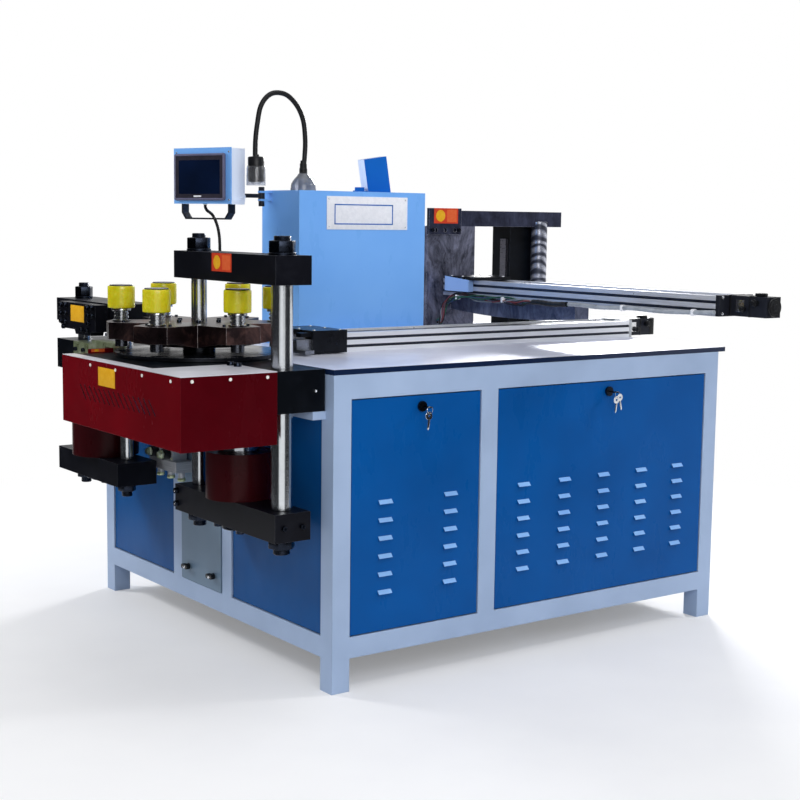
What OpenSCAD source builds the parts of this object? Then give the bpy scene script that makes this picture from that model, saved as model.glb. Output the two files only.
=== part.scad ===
// Busbar punching machine: a welded table with a turret punching press and a
// second press on its left end, a control cabinet, two measuring rails and a
// bending station on top. Millimetres. X runs right along the long front,
// Y runs to the back and Z runs up. Inside the modules, positions are counted
// from the frame's front left corner; placed() moves them to the centre.

/* [Table frame] */
// Length of the welded frame along X
frame_len = 1430; // [1400:5:1460]
// Width of the welded frame along Y
frame_wid = 1350; // [1330:5:1400]
// Side of the square tube
tube = 55; // [50:1:58]
// Wall of the square tube
wall = 5; // [3:0.5:8]
// Underside of the bottom rails above the floor
rail_low = 89; // [80:1:95]
// Height of the table top above the floor
table_h = 850; // [848:0.5:852]
// Thickness of the table top plate
slab = 14; // [10:1:16]
// How far the table top stands over the frame at the right
slab_over = 30; // [0:1:40]
// Depth of the top rail under the table top
top_rail = 64; // [58:1:70]

/* [Doors and panels] */
// Thickness of the door and panel sheet
sheet = 1.5; // [1:0.1:2.5]
// Depth of the folded edge of doors and panels
fold = 20; // [15:1:25]
// Gap round a door or panel
panel_gap = 3; // [2:0.5:4]
// Width of one louvre
louvre_w = 43; // [35:1:50]
// Height of one louvre
louvre_h = 12; // [10:1:16]
// How far a louvre stands out
louvre_d = 8; // [5:1:10]
// Distance between louvre rows
louvre_pitch = 48.4; // [44:0.2:50]

/* [Turret press] */
// Centre of the turret press from the left end of the frame
press_x = -98; // [-100:1:-96]
// Front pillar from the front of the frame
pillar_near = 91; // [90:1:93]
// Back pillar, which is the turret's axle, from the front of the frame
pillar_far = 528; // [526:1:529]
// Diameter of the front pillar
near_d = 56; // [52:1:58]
// Diameter of the back pillar
far_d = 43; // [42:1:46]
// Length of the crossheads
head_len = 538; // [534:1:540]
// Width of the crossheads
head_wid = 106; // [100:1:108]
// Thickness of the crossheads
head_t = 74; // [70:1:76]
// Underside of the upper crosshead
head_up_z = 1064; // [1064:0.5:1066]
// Underside of the lower crosshead
head_low_z = 412; // [405:1:420]

/* [Turret] */
// Radius of the circle of punches
ring_r = 212; // [210:0.5:213]
// Distance of the side edges of a lobe of the upper wheel
petal_r = 243; // [240:1:246]
// Radius of the blunt edge in the middle of a lobe
tip_r = 253; // [250:1:255]
// Radius at the bottom of the notches between the lobes
notch_r = 150; // [145:1:155]
// Underside of the upper wheel's lobes
wheel_z = 897; // [896:0.5:899]
// Underside of its thicker middle
hub_z = 882; // [880:1:884]
// Thickness of the upper wheel
wheel_t = 46; // [42:1:46]
// Radius of the lower die wheel
die_r = 232; // [230:1:236]
// Diameter of a punch
punch_d = 36; // [34:1:38]
// Diameter of a polyurethane spring
spring_d = 74; // [70:1:76]
// Top of the polyurethane springs
spring_top = 1040; // [1038:0.5:1041]
// Bottom of the polyurethane springs
spring_low = 980; // [978:1:982]

/* [Second press] */
// Centre of the second press from the left end of the frame
press_b_x = -147; // [-148:1:-146]
// Front pillar of the second press
pillar_b_near = 890; // [889:1:892]
// Back pillar of the second press
pillar_b_far = 1180; // [1178:1:1182]
// Diameter of its pillars
pillar_b_d = 40; // [36:1:42]

/* [Table equipment] */
// Left side of the control cabinet
cabinet_x = 273; // [272:0.5:274]
// Front of the control cabinet
cabinet_y = 600; // [595:1:604]
// Width of the control cabinet
cabinet_w = 462; // [450:1:480]
// Depth of the control cabinet
cabinet_d = 211; // [205:1:215]
// Top of the control cabinet
cabinet_top = 1312; // [1311:0.5:1313]
// Left end of the punching rail
rail_a_x = 200; // [200:1:210]
// Width of both measuring rails
rail_w = 135; // [130:1:136]
// Height of both measuring rails
rail_h = 55; // [50:1:56]
// Left side of the bending rail
rail_b_x = 960; // [955:1:965]
// Front end of the bending rail
rail_b_y = -400; // [-410:1:-390]
// Underside of the bending rail
rail_b_z = 983; // [982:1:986]

/* [Hidden] */
$fn = 48;

fit = 0.05;          // radial clearance of a running fit
gap = 0.3;           // clearance between faces that slide past each other
slab_z = table_h - slab;
rail_top = rail_low + 57;
door_top = slab_z - top_rail;
mid_post = [485, 544];    // sides of the post between the doors
end_post_1 = 522;    // front faces of the two posts in the left end
end_post_2 = 820;
side_post = 647;     // front face of the post in the right end
cross_x = [700, 1100];

bed_x = [-196, -4];  // left and right faces of the thick press bed
bed_z = 742;         // its underside
shroud_x = -421;     // left face of the red shroud
shroud_y = [25, 716];
shroud_z = 668;      // its lower edge
shroud_end = -152;   // right end of its front face
plate = [[-385, 241], [-4, 712]];  // plate under the die wheel
plate_t = 8;
die_z = [852, 862];  // lower and upper face of the die wheel
punch_low = 874;     // lower faces of the punches at rest
head_a_y = 36;       // front face of the crossheads
cyl_a_y = (pillar_near + pillar_far) / 2;
cyl_a_d = 178;
cyl_b_d = 200;
rod_d = 110;
cyl_a_top = 612;
end_near = 44;       // diameters of the pillars' threaded ends
end_far = 38;
end_b = 32;

head_b = [[-210, 821], [-84, 1243]];
head_b_low = [441, 510];
head_b_up = [907, 976];
bed_b_z = 760;
cyl_b_y = (pillar_b_near + pillar_b_far) / 2;
cyl_b_top = 640;

rail_a_y = 415;
rail_a_len = 1455 - rail_a_x;
rail_b_len = 790 - rail_b_y;
motor_len = 145;
motor_side = 55;

bend_y = [800, 960]; // front and back of the bending station
bend_mid = (bend_y[0] + bend_y[1]) / 2;
bend_z = [870, 1210];
ram_z = 1100;
ram_d = 60;
lamp_x = 318;        // magnetic foot of the lamp
lamp_head_x = 156;
lamp_y = 650;
hmi_corner = [113, 720, 1269];
hmi_turn = 16;
arm_pivot = [243, 765];

x_lo = shroud_x;
x_hi = rail_a_x + rail_a_len + 12 + motor_len;
y_lo = rail_b_y - 12 - 128;
y_hi = frame_wid;

module placed() {
    translate([-(x_lo + x_hi) / 2, -(y_lo + y_hi) / 2, 0]) children();
}

// a box between two corners
module span(lo, hi) {
    translate(lo) cube(hi - lo);
}

// a cylinder along Z between two heights
module post(p, z0, z1, d) {
    translate([p[0], p[1], z0]) cylinder(h = z1 - z0, d = d);
}

module hex(p, z0, z1, across) {
    translate([p[0], p[1], z0]) cylinder(h = z1 - z0, d = across / cos(30), $fn = 6);
}

module along_x() { rotate([0, 90, 0]) children(); }
module along_y() { rotate([-90, 0, 0]) children(); }

// ---- smooth tubes --------------------------------------------------------
function unit(v) = v / norm(v);
function tangent(p, i) = unit(p[min(i + 1, len(p) - 1)] - p[max(i - 1, 0)]);
function ring(p, i, r, n, side) =
    let (t = tangent(p, i), u = unit(cross(side, t)), v = cross(t, u))
    [for (k = [0:n - 1]) p[i] + r * (cos(360 * k / n) * u + sin(360 * k / n) * v)];
// a smooth curve through the points p
function curve(p, steps) = concat(
    [for (i = [0:len(p) - 2], s = [0:steps - 1])
        let (a = p[max(i - 1, 0)], b = p[i], c = p[i + 1],
            d = p[min(i + 2, len(p) - 1)], t = s / steps)
        0.5 * (2 * b + (c - a) * t + (2 * a - 5 * b + 4 * c - d) * t * t
            + (3 * b - a - 3 * c + d) * t * t * t)],
    [p[len(p) - 1]]);

module tube_along(p, d, side, n = 8) {
    last = len(p) - 1;
    points = [for (i = [0:last]) each ring(p, i, d / 2, n, side)];
    sides = [for (i = [0:last - 1], k = [0:n - 1])
        [i * n + k, (i + 1) * n + k, (i + 1) * n + (k + 1) % n, i * n + (k + 1) % n]];
    polyhedron(points, concat([[for (k = [0:n - 1]) k]], sides,
        [[for (k = [n - 1:-1:0]) last * n + k]]), convexity = 6);
}

// ---- table ---------------------------------------------------------------
// the bars of the frame; inset shrinks them to the hollows inside
module frame_bars(inset, foot) {
    i = inset;
    for (x = [0, frame_len - tube], y = [0, frame_wid - tube])
        span([x + i, y + i, foot], [x + tube - i, y + tube - i, slab_z + i]);
    for (y = [0, frame_wid - tube])
        span([mid_post[0] + i, y + i, rail_top - 2 * i],
            [mid_post[1] - i, y + tube - i, door_top + 2 * i]);
    for (p = [[0, end_post_1], [0, end_post_2], [frame_len - tube, side_post]])
        span([p[0] + i, p[1] + i, rail_top - 2 * i],
            [p[0] + tube - i, p[1] + tube - i, door_top + 2 * i]);
    for (z = [[rail_low, rail_top], [door_top, slab_z]]) {
        for (y = [0, frame_wid - tube])
            span([tube - 2 * i, y + i, z[0] + i], [frame_len - tube + 2 * i, y + tube - i, z[1] - i]);
        for (x = [0, frame_len - tube])
            span([x + i, tube - 2 * i, z[0] + i], [x + tube - i, frame_wid - tube + 2 * i, z[1] - i]);
    }
    for (x = cross_x)
        span([x + i, tube - 2 * i, rail_low + i], [x + tube - i, frame_wid - tube + 2 * i, rail_top - i]);
}

module frame() placed() color("#b9c3cf") {
    difference() {
        frame_bars(0, 0);
        frame_bars(wall, 8);
        // bores for the doors' hinge pins
        for (x = [tube, mid_post[0], mid_post[1], frame_len - tube])
            translate([x - wall - 1, hinge[0], hinge[1]]) along_x()
                cylinder(h = 2 * wall + 2, d = pin_d + 2 * fit);
    }
    // ledges that the two press beds are bolted on
    span([-40, 36, bed_z - 22], [0, 570, bed_z]);
    span([-60, 830, bed_b_z - 22], [0, 1235, bed_b_z]);
    // keepers that the door locks turn behind
    for (x = lock_x) span([x - 18, 28, door_top - 16], [x + 18, 32, door_top + 1]);
}

module table_top() placed() color("#c9cbe0")
    span([0, 0, slab_z], [frame_len + slab_over, frame_wid, table_h]);

// folded tray with its face towards the origin side of Y
module tray(w, h) {
    difference() {
        cube([w, fold, h]);
        translate([sheet, sheet, sheet]) cube([w - 2 * sheet, fold, h - 2 * sheet]);
    }
}

module louvre() {
    difference() {
        rotate([90, 0, 90]) linear_extrude(louvre_w)
            polygon([[0.5, 0], [0.5, louvre_h], [0, louvre_h], [-louvre_d, 2], [-louvre_d, 0]]);
        translate([sheet, 0, 0]) rotate([90, 0, 90]) linear_extrude(louvre_w - 2 * sheet)
            polygon([[1, -1], [1, louvre_h - 3], [0, louvre_h - 3], [1.5 - louvre_d, 1],
                [1.5 - louvre_d, -1]]);
    }
}

door_z = rail_top + panel_gap;
door_h = door_top - rail_top - 2 * panel_gap;
door_y = 2;
door_l = [tube + panel_gap, mid_post[0] - panel_gap];
door_r = [mid_post[1] + panel_gap, frame_len - tube - panel_gap];
lock_x = [281, 965];
lock_h = 591;        // height of the locks above the door's lower edge
hinge = [8, 155];    // the doors' hinge line in Y and Z
pin_d = 5;
louvres = [for (k = [0:5]) 97 + k * louvre_pitch];

module door(x, columns, lock) translate([x[0], door_y, door_z]) {
    // stub pins that the door tilts on
    for (px = [-7, x[1] - x[0] - sheet])
        translate([px, hinge[0] - door_y, hinge[1] - door_z]) along_x()
            cylinder(h = 7 + sheet, d = pin_d);
    difference() {
        tray(x[1] - x[0], door_h);
        for (c = columns, z = louvres)
            translate([c + sheet, -1, z]) cube([louvre_w - 2 * sheet, 4, louvre_h - 3]);
        translate([lock - x[0], -1, lock_h]) along_y() cylinder(h = 5, d = 20 + 2 * fit);
    }
    for (c = columns, z = louvres) translate([c, 0, z]) louvre();
}

module door_left() placed() color("#1f5fa8") door(door_l, [86, 303], lock_x[0]);

module door_right() placed() color("#1f5fa8")
    door(door_r, [for (k = [0:4]) 76 + k * 154.5], lock_x[1]);

// head, barrel, cam, and the key in a door lock
module lock(x) translate([x, door_y, door_z + lock_h]) {
    along_y() {
        translate([0, 0, -7]) cylinder(h = 7 - gap, d = 28);
        translate([0, 0, -1]) cylinder(h = 33, d = 20);
    }
    span([-36, 32, -8], [9, 35, 8]);
    span([-4, -22, -1], [4, -6, 1]);
    translate([0, -30, 0]) cylinder(h = 2, d = 24, center = true);
}

module lock_left() placed() color("#2b2b2b") lock(lock_x[0]);
module lock_right() placed() color("#2b2b2b") lock(lock_x[1]);

module panels() placed() color("#1f5fa8") {
    for (y = [[tube, end_post_1], [end_post_2 + tube, frame_wid - tube]])
        translate([4, y[1] - panel_gap, door_z]) rotate([0, 0, -90])
            tray(y[1] - y[0] - 2 * panel_gap, door_h);
    for (y = [[tube, side_post], [side_post + tube, frame_wid - tube]])
        translate([frame_len - 4, y[0] + panel_gap, door_z]) rotate([0, 0, 90])
            tray(y[1] - y[0] - 2 * panel_gap, door_h);
    for (x = [[tube, mid_post[0]], [mid_post[1], frame_len - tube]])
        translate([x[1] - panel_gap, frame_wid - 4, door_z]) rotate([0, 0, 180])
            tray(x[1] - x[0] - 2 * panel_gap, door_h);
}

cover_y = [end_post_1 + tube + 2, end_post_2 - 2];
knob_y = [621, 772];
knob_z = 190;

module end_cover() placed() color("#9aa6ae")
    difference() {
        translate([-3, cover_y[1], rail_top + 2]) rotate([0, 0, -90])
            tray(cover_y[1] - cover_y[0], door_top - rail_top - 4);
        for (y = knob_y) translate([-4, y, knob_z]) along_x() cylinder(h = 4, d = 8 + 2 * fit);
    }

// wing knob: hub, two wings and a quarter-turn stud
module cover_knob(y) translate([-3, y, knob_z]) {
    translate([-12, 0, 0]) along_x() cylinder(h = 12 - gap, d = 16);
    translate([-1, 0, 0]) along_x() cylinder(h = 17, d = 8);
    for (s = [-1, 1]) translate([-18, s * 11, 0]) along_x() cylinder(h = 12, d = 14);
    span([-18, -11, -5], [-8, 11, 5]);
}

module cover_knob_1() placed() color("#1c1c1e") cover_knob(knob_y[0]);
module cover_knob_2() placed() color("#1c1c1e") cover_knob(knob_y[1]);

// ---- hydraulics inside the table ------------------------------------------
tank = [[640, 300], [1220, 900]];

module hydraulic_tank() placed() color("#3c4650") {
    difference() {
        span([tank[0][0], tank[0][1], rail_top], [tank[1][0], tank[1][1], 440]);
        span([tank[0][0] + 4, tank[0][1] + 4, rail_top + 4], [tank[1][0] - 4, tank[1][1] - 4, 441]);
    }
    span([tank[0][0] - 12, tank[0][1] - 12, 440], [tank[1][0] + 12, tank[1][1] + 12, 448]);
    post([720, 400], 448, 486, 60);
}

module pump_motor() placed() color("#5d6a72") {
    p = [960, 620];
    post(p, 448, 464, 230);
    post(p, 464, 500, 150);
    post(p, 500, 690, 180);
    post(p, 690, 735, 186);
    span([p[0] - 50, p[1] - 130, 560], [p[0] + 50, p[1] - 85, 650]);
}

module valve_block() placed() color("#aab0b4") {
    span([-60, 742, 480], [-3, 914, 512]);
    for (y = [770, 846]) {
        span([-56, y, 512], [-10, y + 48, 556]);
        translate([-78, y + 24, 532]) along_x() cylinder(h = 22, d = 30);
    }
    for (y = [762, 828, 894]) post([-32, y, 0], 462, 480, 20);
}

// ---- press beds, shroud and deck ------------------------------------------
function station(k) = [press_x + ring_r * cos(60 * k - 90), pillar_far + ring_r * sin(60 * k - 90)];

module bed_a() placed() color("#26282c")
    difference() {
        union() {
            span([bed_x[0], 35, bed_z], [bed_x[1], 620, table_h]);
            span([plate[0][0], plate[0][1], table_h - plate_t], [plate[1][0], plate[1][1], table_h]);
        }
        post([press_x, pillar_near], bed_z - 1, table_h + 1, near_d + 2 * fit);
        post([press_x, pillar_far], bed_z - 1, table_h + 1, far_d + 2 * fit);
        // well and chute for the slugs of the working station
        post(station(0), 790, table_h + 1, punch_d + 8);
        span([bed_x[0] - 1, station(0)[1] - 20, 790], [press_x + 20, station(0)[1] + 20, 830]);
    }

module bed_b() placed() color("#26282c")
    difference() {
        span([head_b[0][0], head_b[0][1], bed_b_z], [-4, head_b[1][1], table_h]);
        for (y = [pillar_b_near, pillar_b_far])
            post([press_b_x, y], bed_b_z - 1, table_h + 1, pillar_b_d + 2 * fit);
    }

// folded sheet round the press, with slanting vents in its left face
module shroud() placed() color("#a3131c") {
    t = 2;
    difference() {
        union() {
            span([shroud_x, shroud_y[0], shroud_z], [shroud_x + t, shroud_y[1], table_h]);
            span([shroud_x, shroud_y[0], shroud_z], [shroud_end, shroud_y[0] + t, table_h]);
            span([shroud_x, shroud_y[1] - t, shroud_z], [bed_x[0] - 8, shroud_y[1], table_h]);
            span([shroud_x, shroud_y[0], table_h - t], [shroud_x + 15, shroud_y[1], table_h]);
            span([shroud_x, shroud_y[0], table_h - t], [shroud_end, shroud_y[0] + 10, table_h]);
            span([shroud_x, shroud_y[0], shroud_z], [shroud_x + 14, shroud_y[1], shroud_z + t]);
        }
        for (k = [0:14]) translate([shroud_x - 1, 601 - k * 29, 779]) rotate([-45, 0, 0])
            translate([0, -3, -54]) cube([4, 4, 54]);
    }
    // small upstand at the back, on which a plate is fixed
    span([-345, shroud_y[1] - t, table_h - t], [-270, shroud_y[1], table_h + 12]);
}

module deck() placed() color("#dcdce4") {
    span([shroud_x, shroud_y[0], table_h], [shroud_end, plate[0][1] - 1, table_h + 2]);
    span([shroud_x, plate[0][1] - 2, table_h], [plate[0][0] - 1, shroud_y[1] - 3, table_h + 2]);
}

// ---- turret ----------------------------------------------------------------
function polar(r, t, a) = [r * cos(a) - t * sin(a), r * sin(a) + t * cos(a)];
// outline of the upper wheel: per lobe two faces with a blunt edge between them, and a notch
wheel_outline = [for (k = [0:5]) each
    let (a = 60 * k - 90)
    [polar(petal_r, -52, a), polar(tip_r, 0, a), polar(petal_r, 52, a), polar(notch_r, 0, a + 30)]];

module turret_wheel() placed() color("#4a3f3c")
    difference() {
        translate([press_x, pillar_far, 0]) {
            translate([0, 0, wheel_z]) linear_extrude(wheel_t) polygon(wheel_outline);
            // the middle hangs lower and tapers out into the lobes
            intersection() {
                translate([0, 0, hub_z]) linear_extrude(wheel_z - hub_z + 1) polygon(wheel_outline);
                translate([0, 0, hub_z]) cylinder(h = wheel_z - hub_z + 1, r1 = notch_r, r2 = 228);
            }
        }
        post([press_x, pillar_far], hub_z - 1, wheel_z + wheel_t + 1, far_d + 2 * fit);
        for (k = [0:5]) post(station(k), hub_z - 1, wheel_z + wheel_t + 1, punch_d + 2 * fit);
    }

// lower wheel with its hub, which carries the upper wheel
module die_wheel() placed() color("#2a2c30")
    difference() {
        union() {
            post([press_x, pillar_far], table_h + gap, die_z[0] + 1, 150);
            post([press_x, pillar_far], die_z[0], die_z[1], 2 * die_r);
            post([press_x, pillar_far], die_z[1] - 1, hub_z, 90);
        }
        post([press_x, pillar_far], table_h, hub_z + 1, far_d + 2 * fit);
        for (k = [0:5]) post(station(k), die_z[0] - 1, die_z[1] + 1, punch_d + 1);
    }

stem_d = 26;
cap_t = 3;
collar_z = 972;      // height at which the neck meets the spring seat

// bushes on the upper wheel that guide the punches and seat the springs
module punch_guides() placed() color("#c9ccd0")
    for (k = [0:5]) difference() {
        union() {
            post(station(k), wheel_z + wheel_t, wheel_z + wheel_t + 4, 48);
            post(station(k), wheel_z + wheel_t + 3, collar_z, 40);
            post(station(k), collar_z, spring_low, 52);
        }
        post(station(k), wheel_z + wheel_t - 1, spring_low + 1, stem_d + 2 * fit);
    }

// tool and stem under a flat cap
module punch(k) placed() color("#33353a") {
    post(station(k), punch_low, wheel_z + wheel_t - 1, punch_d);
    post(station(k), wheel_z + wheel_t - 2, spring_top + 1, stem_d);
    post(station(k), spring_top, spring_top + cap_t, 62);
}

module punch_1() punch(0);
module punch_2() punch(1);
module punch_3() punch(2);
module punch_4() punch(3);
module punch_5() punch(4);
module punch_6() punch(5);

module urethane(k) placed() color("#e6d800")
    difference() {
        post(station(k), spring_low, spring_top, spring_d);
        post(station(k), spring_low - 1, spring_top + 1, stem_d + 1);
    }

module spring_1() urethane(0);
module spring_2() urethane(1);
module spring_3() urethane(2);
module spring_4() urethane(3);
module spring_5() urethane(4);
module spring_6() urethane(5);

// ---- turret press ----------------------------------------------------------
module crosshead_a(z)
    difference() {
        span([press_x - head_wid / 2, head_a_y, z],
            [press_x + head_wid / 2, head_a_y + head_len, z + head_t]);
        post([press_x, pillar_near], z - 1, z + head_t + 1, end_near + 2 * fit);
        post([press_x, pillar_far], z - 1, z + head_t + 1, end_far + 2 * fit);
    }

module crosshead_upper_a() placed() color("#1d1e21") crosshead_a(head_up_z);
module crosshead_lower_a() placed() color("#1d1e21") crosshead_a(head_low_z);

// pillar whose thinner ends pass through two heads, with washer and nuts.
// Each head is given as its lower and upper face.
module pillar(p, d, d_end, low, high, nut) {
    post(p, low[1], high[0], d);
    post(p, low[0] - 42, low[1] + 1, d_end);
    post(p, high[0] - 1, high[1] + 48, d_end);
    difference() {
        union() {
            post(p, high[1], high[1] + 6, nut * 1.15);
            hex(p, high[1] + 5, high[1] + 36, nut);
        }
        post(p, high[1] - 1, high[1] + 37, d_end + 2 * fit);
    }
    difference() {
        hex(p, low[0] - 26, low[0], nut);
        post(p, low[0] - 27, low[0] + 1, d_end + 2 * fit);
    }
}

module pillars_a() placed() color("#c4c8cc") {
    low = [head_low_z, head_low_z + head_t];
    high = [head_up_z, head_up_z + head_t];
    pillar([press_x, pillar_near], near_d, end_near, low, high, 62);
    pillar([press_x, pillar_far], far_d, end_far, low, high, 58);
}

// open-topped barrel that rides on the lower crosshead
module barrel(p, z0, z1, d)
    difference() {
        post(p, z0, z1, d);
        post(p, z0 + 22, z1 - 16, rod_d + 22);
        post(p, z1 - 17, z1 + 1, rod_d + 2 * fit);
    }

module cylinder_a() placed() color("#7c1418")
    barrel([press_x, cyl_a_y], head_low_z + head_t, cyl_a_top, cyl_a_d);

// piston rods fixed under the two beds
module pistons() placed() color("#3a3c40") {
    post([press_x, cyl_a_y], cyl_a_top - 80, bed_z, rod_d);
    post([press_b_x, cyl_b_y], cyl_b_top - 60, bed_b_z, rod_d);
}

// ---- second press ----------------------------------------------------------
module crosshead_b(z)
    difference() {
        span([head_b[0][0], head_b[0][1], z[0]], [head_b[1][0], head_b[1][1], z[1]]);
        for (y = [pillar_b_near, pillar_b_far])
            post([press_b_x, y], z[0] - 1, z[1] + 1, end_b + 2 * fit);
    }

module crosshead_upper_b() placed() color("#1d1e21") crosshead_b(head_b_up);
module crosshead_lower_b() placed() color("#1d1e21") crosshead_b(head_b_low);

module pillars_b() placed() color("#c4c8cc")
    for (y = [pillar_b_near, pillar_b_far])
        pillar([press_b_x, y], pillar_b_d, end_b, head_b_low, head_b_up, 48);

module cylinder_b() placed() color("#8e161b")
    barrel([press_b_x, cyl_b_y], head_b_low[1], cyl_b_top, cyl_b_d);

// plate on the upper crosshead's left face that tapers down to the tool
module tool_holder_b() placed() color("#202124")
    translate([head_b[0][0] - 40, 0, 0]) rotate([90, 0, 90]) linear_extrude(40)
        polygon([[874, 972], [874, 893], [902, 893], [908, 880], [1012, 880], [1020, 893],
            [1095, 893], [1126, 906], [1126, 972]]);

// two plated blocks on the bed's left face, and a guide bar on the first
module lower_tools_b() placed() color("#b9c6a4") {
    x = head_b[0][0];
    span([x - 40, 935, 815], [x, 1030, 858]);
    span([x - 40, 813, 815], [x, 925, 858]);
    span([x - 40, 760, 858], [x, 900, 870]);
    post([x - 20, 762], 858, 870, 40);
}

// ---- control cabinet, lamp and operator panel ------------------------------
module control_cabinet() placed() color("#3f86d6") {
    difference() {
        translate([cabinet_x, cabinet_y, table_h])
            cube([cabinet_w, cabinet_d, cabinet_top - table_h]);
        translate([cabinet_x + 2, cabinet_y + 2, table_h - 1])
            cube([cabinet_w - 4, cabinet_d - 4, cabinet_top - table_h - 1]);
    }
    // ears for the panel arm
    for (z = [1280, 1304]) difference() {
        union() {
            span([arm_pivot[0], arm_pivot[1] - 11, z], [cabinet_x + 1, arm_pivot[1] + 11, z + 6]);
            post(arm_pivot, z, z + 6, 22);
        }
        post(arm_pivot, z - 1, z + 7, 10 + 2 * fit);
    }
}

// centre line of the goose neck, from the foot up and over to the head
neck = curve([for (p = [[0, 1366], [5, 1419], [6, 1463], [-1, 1516], [-22, 1557], [-56, 1586],
    [-94, 1592], [-124, 1580], [-147, 1549], [-158, 1500], [-164, 1452], [-165, 1402]])
    [lamp_x + p[0], lamp_y, p[1]]], 3);

// magnetic foot, neck, and head with its shade
module lamp() placed() color("#17181a") {
    p = [lamp_x, lamp_y];
    q = [lamp_head_x, lamp_y];
    for (c = [[0, 76, 74], [14, 74, 66], [26, 66, 52], [36, 52, 30]])
        translate([p[0], p[1], cabinet_top + c[0]]) cylinder(h = 14, d1 = c[1], d2 = c[2]);
    post(p, cabinet_top + 44, 1370, 24);
    tube_along(neck, 15, [0, 1, 0], 10);
    difference() {
        union() {
            post(q, 1376, 1406, 46);
            post(q, 1323, 1378, 57);
        }
        post(q, 1322, 1370, 50);
    }
    post(q, 1340, 1377, 34);
}

// moves a child from the panel's own corner to its place
module at_panel() translate(hmi_corner) rotate([0, 0, hmi_turn]) children();

case_w = 240;
case_h = 165;

module hmi_case() placed() color("#4a8fe0") at_panel() {
    span([0, 0, 0], [3, case_w, case_h]);
    difference() {
        span([2, 4, 8], [62, case_w - 6, case_h - 2]);
        span([4, 6, 10], [60, case_w - 8, case_h - 4]);
    }
    // cable gland under the case
    translate([22.5, 130, -1.3]) cylinder(h = 10.3, d = 14);
    // strengthening plate at the lower edge of the near side
    translate([2, 6, 0]) rotate([90, 0, 0]) linear_extrude(6)
        polygon([[0, -1], [54, -1], [60, 26], [34, 14], [0, 14]]);
}

module hmi_screen() placed() color("#2a2b2e") at_panel()
    difference() {
        span([-8, 22, 10], [0, 233, 148]);
        span([-9, 34, 22], [-6, 221, 136]);
    }

module hmi_arm() placed() color("#18191b") {
    difference() {
        post(arm_pivot, 1286 + gap, 1304 - gap, 20);
        post(arm_pivot, 1285, 1305, 9);
    }
    post(arm_pivot, 1266, 1320, 10);
    post(arm_pivot, 1310 + gap, 1322, 18);
    post(arm_pivot, 1264, 1280 - gap, 18);
    span([182, arm_pivot[1] - 7, 1289], [arm_pivot[0] - 8, arm_pivot[1] + 7, 1301]);
    // strap handle under the panel
    at_panel() translate([14, 0, 0]) rotate([90, 0, 90]) linear_extrude(26) difference() {
        polygon([[22, 0], [22, -26], [38, -46], [206, -46], [222, -26], [222, 0]]);
        polygon([[27, 1], [27, -24], [41, -41], [203, -41], [217, -24], [217, 1]]);
    }
}

cable = curve([[99, 851, 1266.6], [99, 850.5, 1260], [99.3, 846, 1253.5], [99.5, 837, 1248],
    [99, 821, 1243], [97.5, 802, 1235], [98, 787, 1220], [101, 778, 1199], [103, 773, 1174],
    [104, 772, 1150], [105, 771, 1128], [114, 764, 1107], [136, 750, 1093], [172, 728, 1089],
    [220, 704, 1100], [257, 688, 1111], [272.5, 686, 1112]], 3);

module hmi_cable() placed() color("#141416") tube_along(cable, 9, [0.6, 1, 0]);

// small box behind the control cabinet's top edge, leaning to the left
module rear_box() placed() color("#2c6fbe") {
    translate([0, 706, cabinet_top]) rotate([90, 0, 0]) linear_extrude(34)
        polygon([[569, 0], [655, 0], [636, 112], [552, 99]]);
    translate([531, 674, cabinet_top]) cube([39, 26, 5]);
    translate([535, 678, cabinet_top + 4]) cube([24, 18, 11]);
}

// ---- measuring rails --------------------------------------------------------
// section of the linear module: side slots, top channel and a hollow
module rail_section() difference() {
    square([rail_w, rail_h]);
    for (s = [-1, rail_w - 5]) {
        translate([s, 12]) square([6, 8]);
        translate([s, 34]) square([6, 8]);
    }
    translate([14, rail_h - 6]) square([rail_w - 28, 7]);
    translate([30, 12]) square([rail_w - 60, 24]);
}

// carries a section standing on the table off along +X
module rail_a() placed() color("#c7cad2")
    translate([rail_a_x, rail_a_y, table_h]) rotate([90, 0, 90])
        linear_extrude(rail_a_len) rail_section();

module rail_b() placed() color("#c7cad2")
    translate([rail_b_x, rail_b_y + rail_b_len, rail_b_z]) rotate([90, 0, 0])
        linear_extrude(rail_b_len) rail_section();

// end plate, motor body and connector, facing along +X from its origin
module servo(body) {
    mid = rail_w / 2;
    span([0, 0, 0], [12, rail_w, rail_h + 2]);
    span([11, mid - motor_side / 2, 2], [12 + body, mid + motor_side / 2, 2 + motor_side]);
}

module servo_motors() placed() color("#16171a") {
    translate([rail_a_x + rail_a_len, rail_a_y, table_h]) servo(motor_len);
    translate([rail_b_x, rail_b_y, rail_b_z]) rotate([0, 0, -90]) servo(128);
}

// saddle over the punching rail, with an apron that holds the clamp
module carriage_a() placed() color("#1b1c1f") {
    z = table_h + rail_h + gap;
    span([178, 374, z], [293, 560, z + 12]);
    span([178, 374, table_h + 3], [293, rail_a_y - gap, z + 1]);
    span([145, 386, z - 6], [179, 412, z + 6]);
}

module clamp_jaw() placed() color("#b8bcc4") {
    span([131, 385, 856], [178 - gap, 412, 893]);
    span([131, 340, 856], [160, 386, 866]);
}

// saddle on the bending rail, a side block and the finger that meets the bar
module carriage_b() placed() color("#1a1b1e") {
    z = rail_b_z + rail_h + gap;
    span([rail_b_x - 20, 600, z], [rail_b_x + 130, 757, z + 10]);
    span([rail_b_x - 20, 632, rail_b_z + 17], [rail_b_x - gap, 757, z + 1]);
    span([rail_b_x + 129, 737, z], [1150, 757, z + 10]);
}

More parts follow.
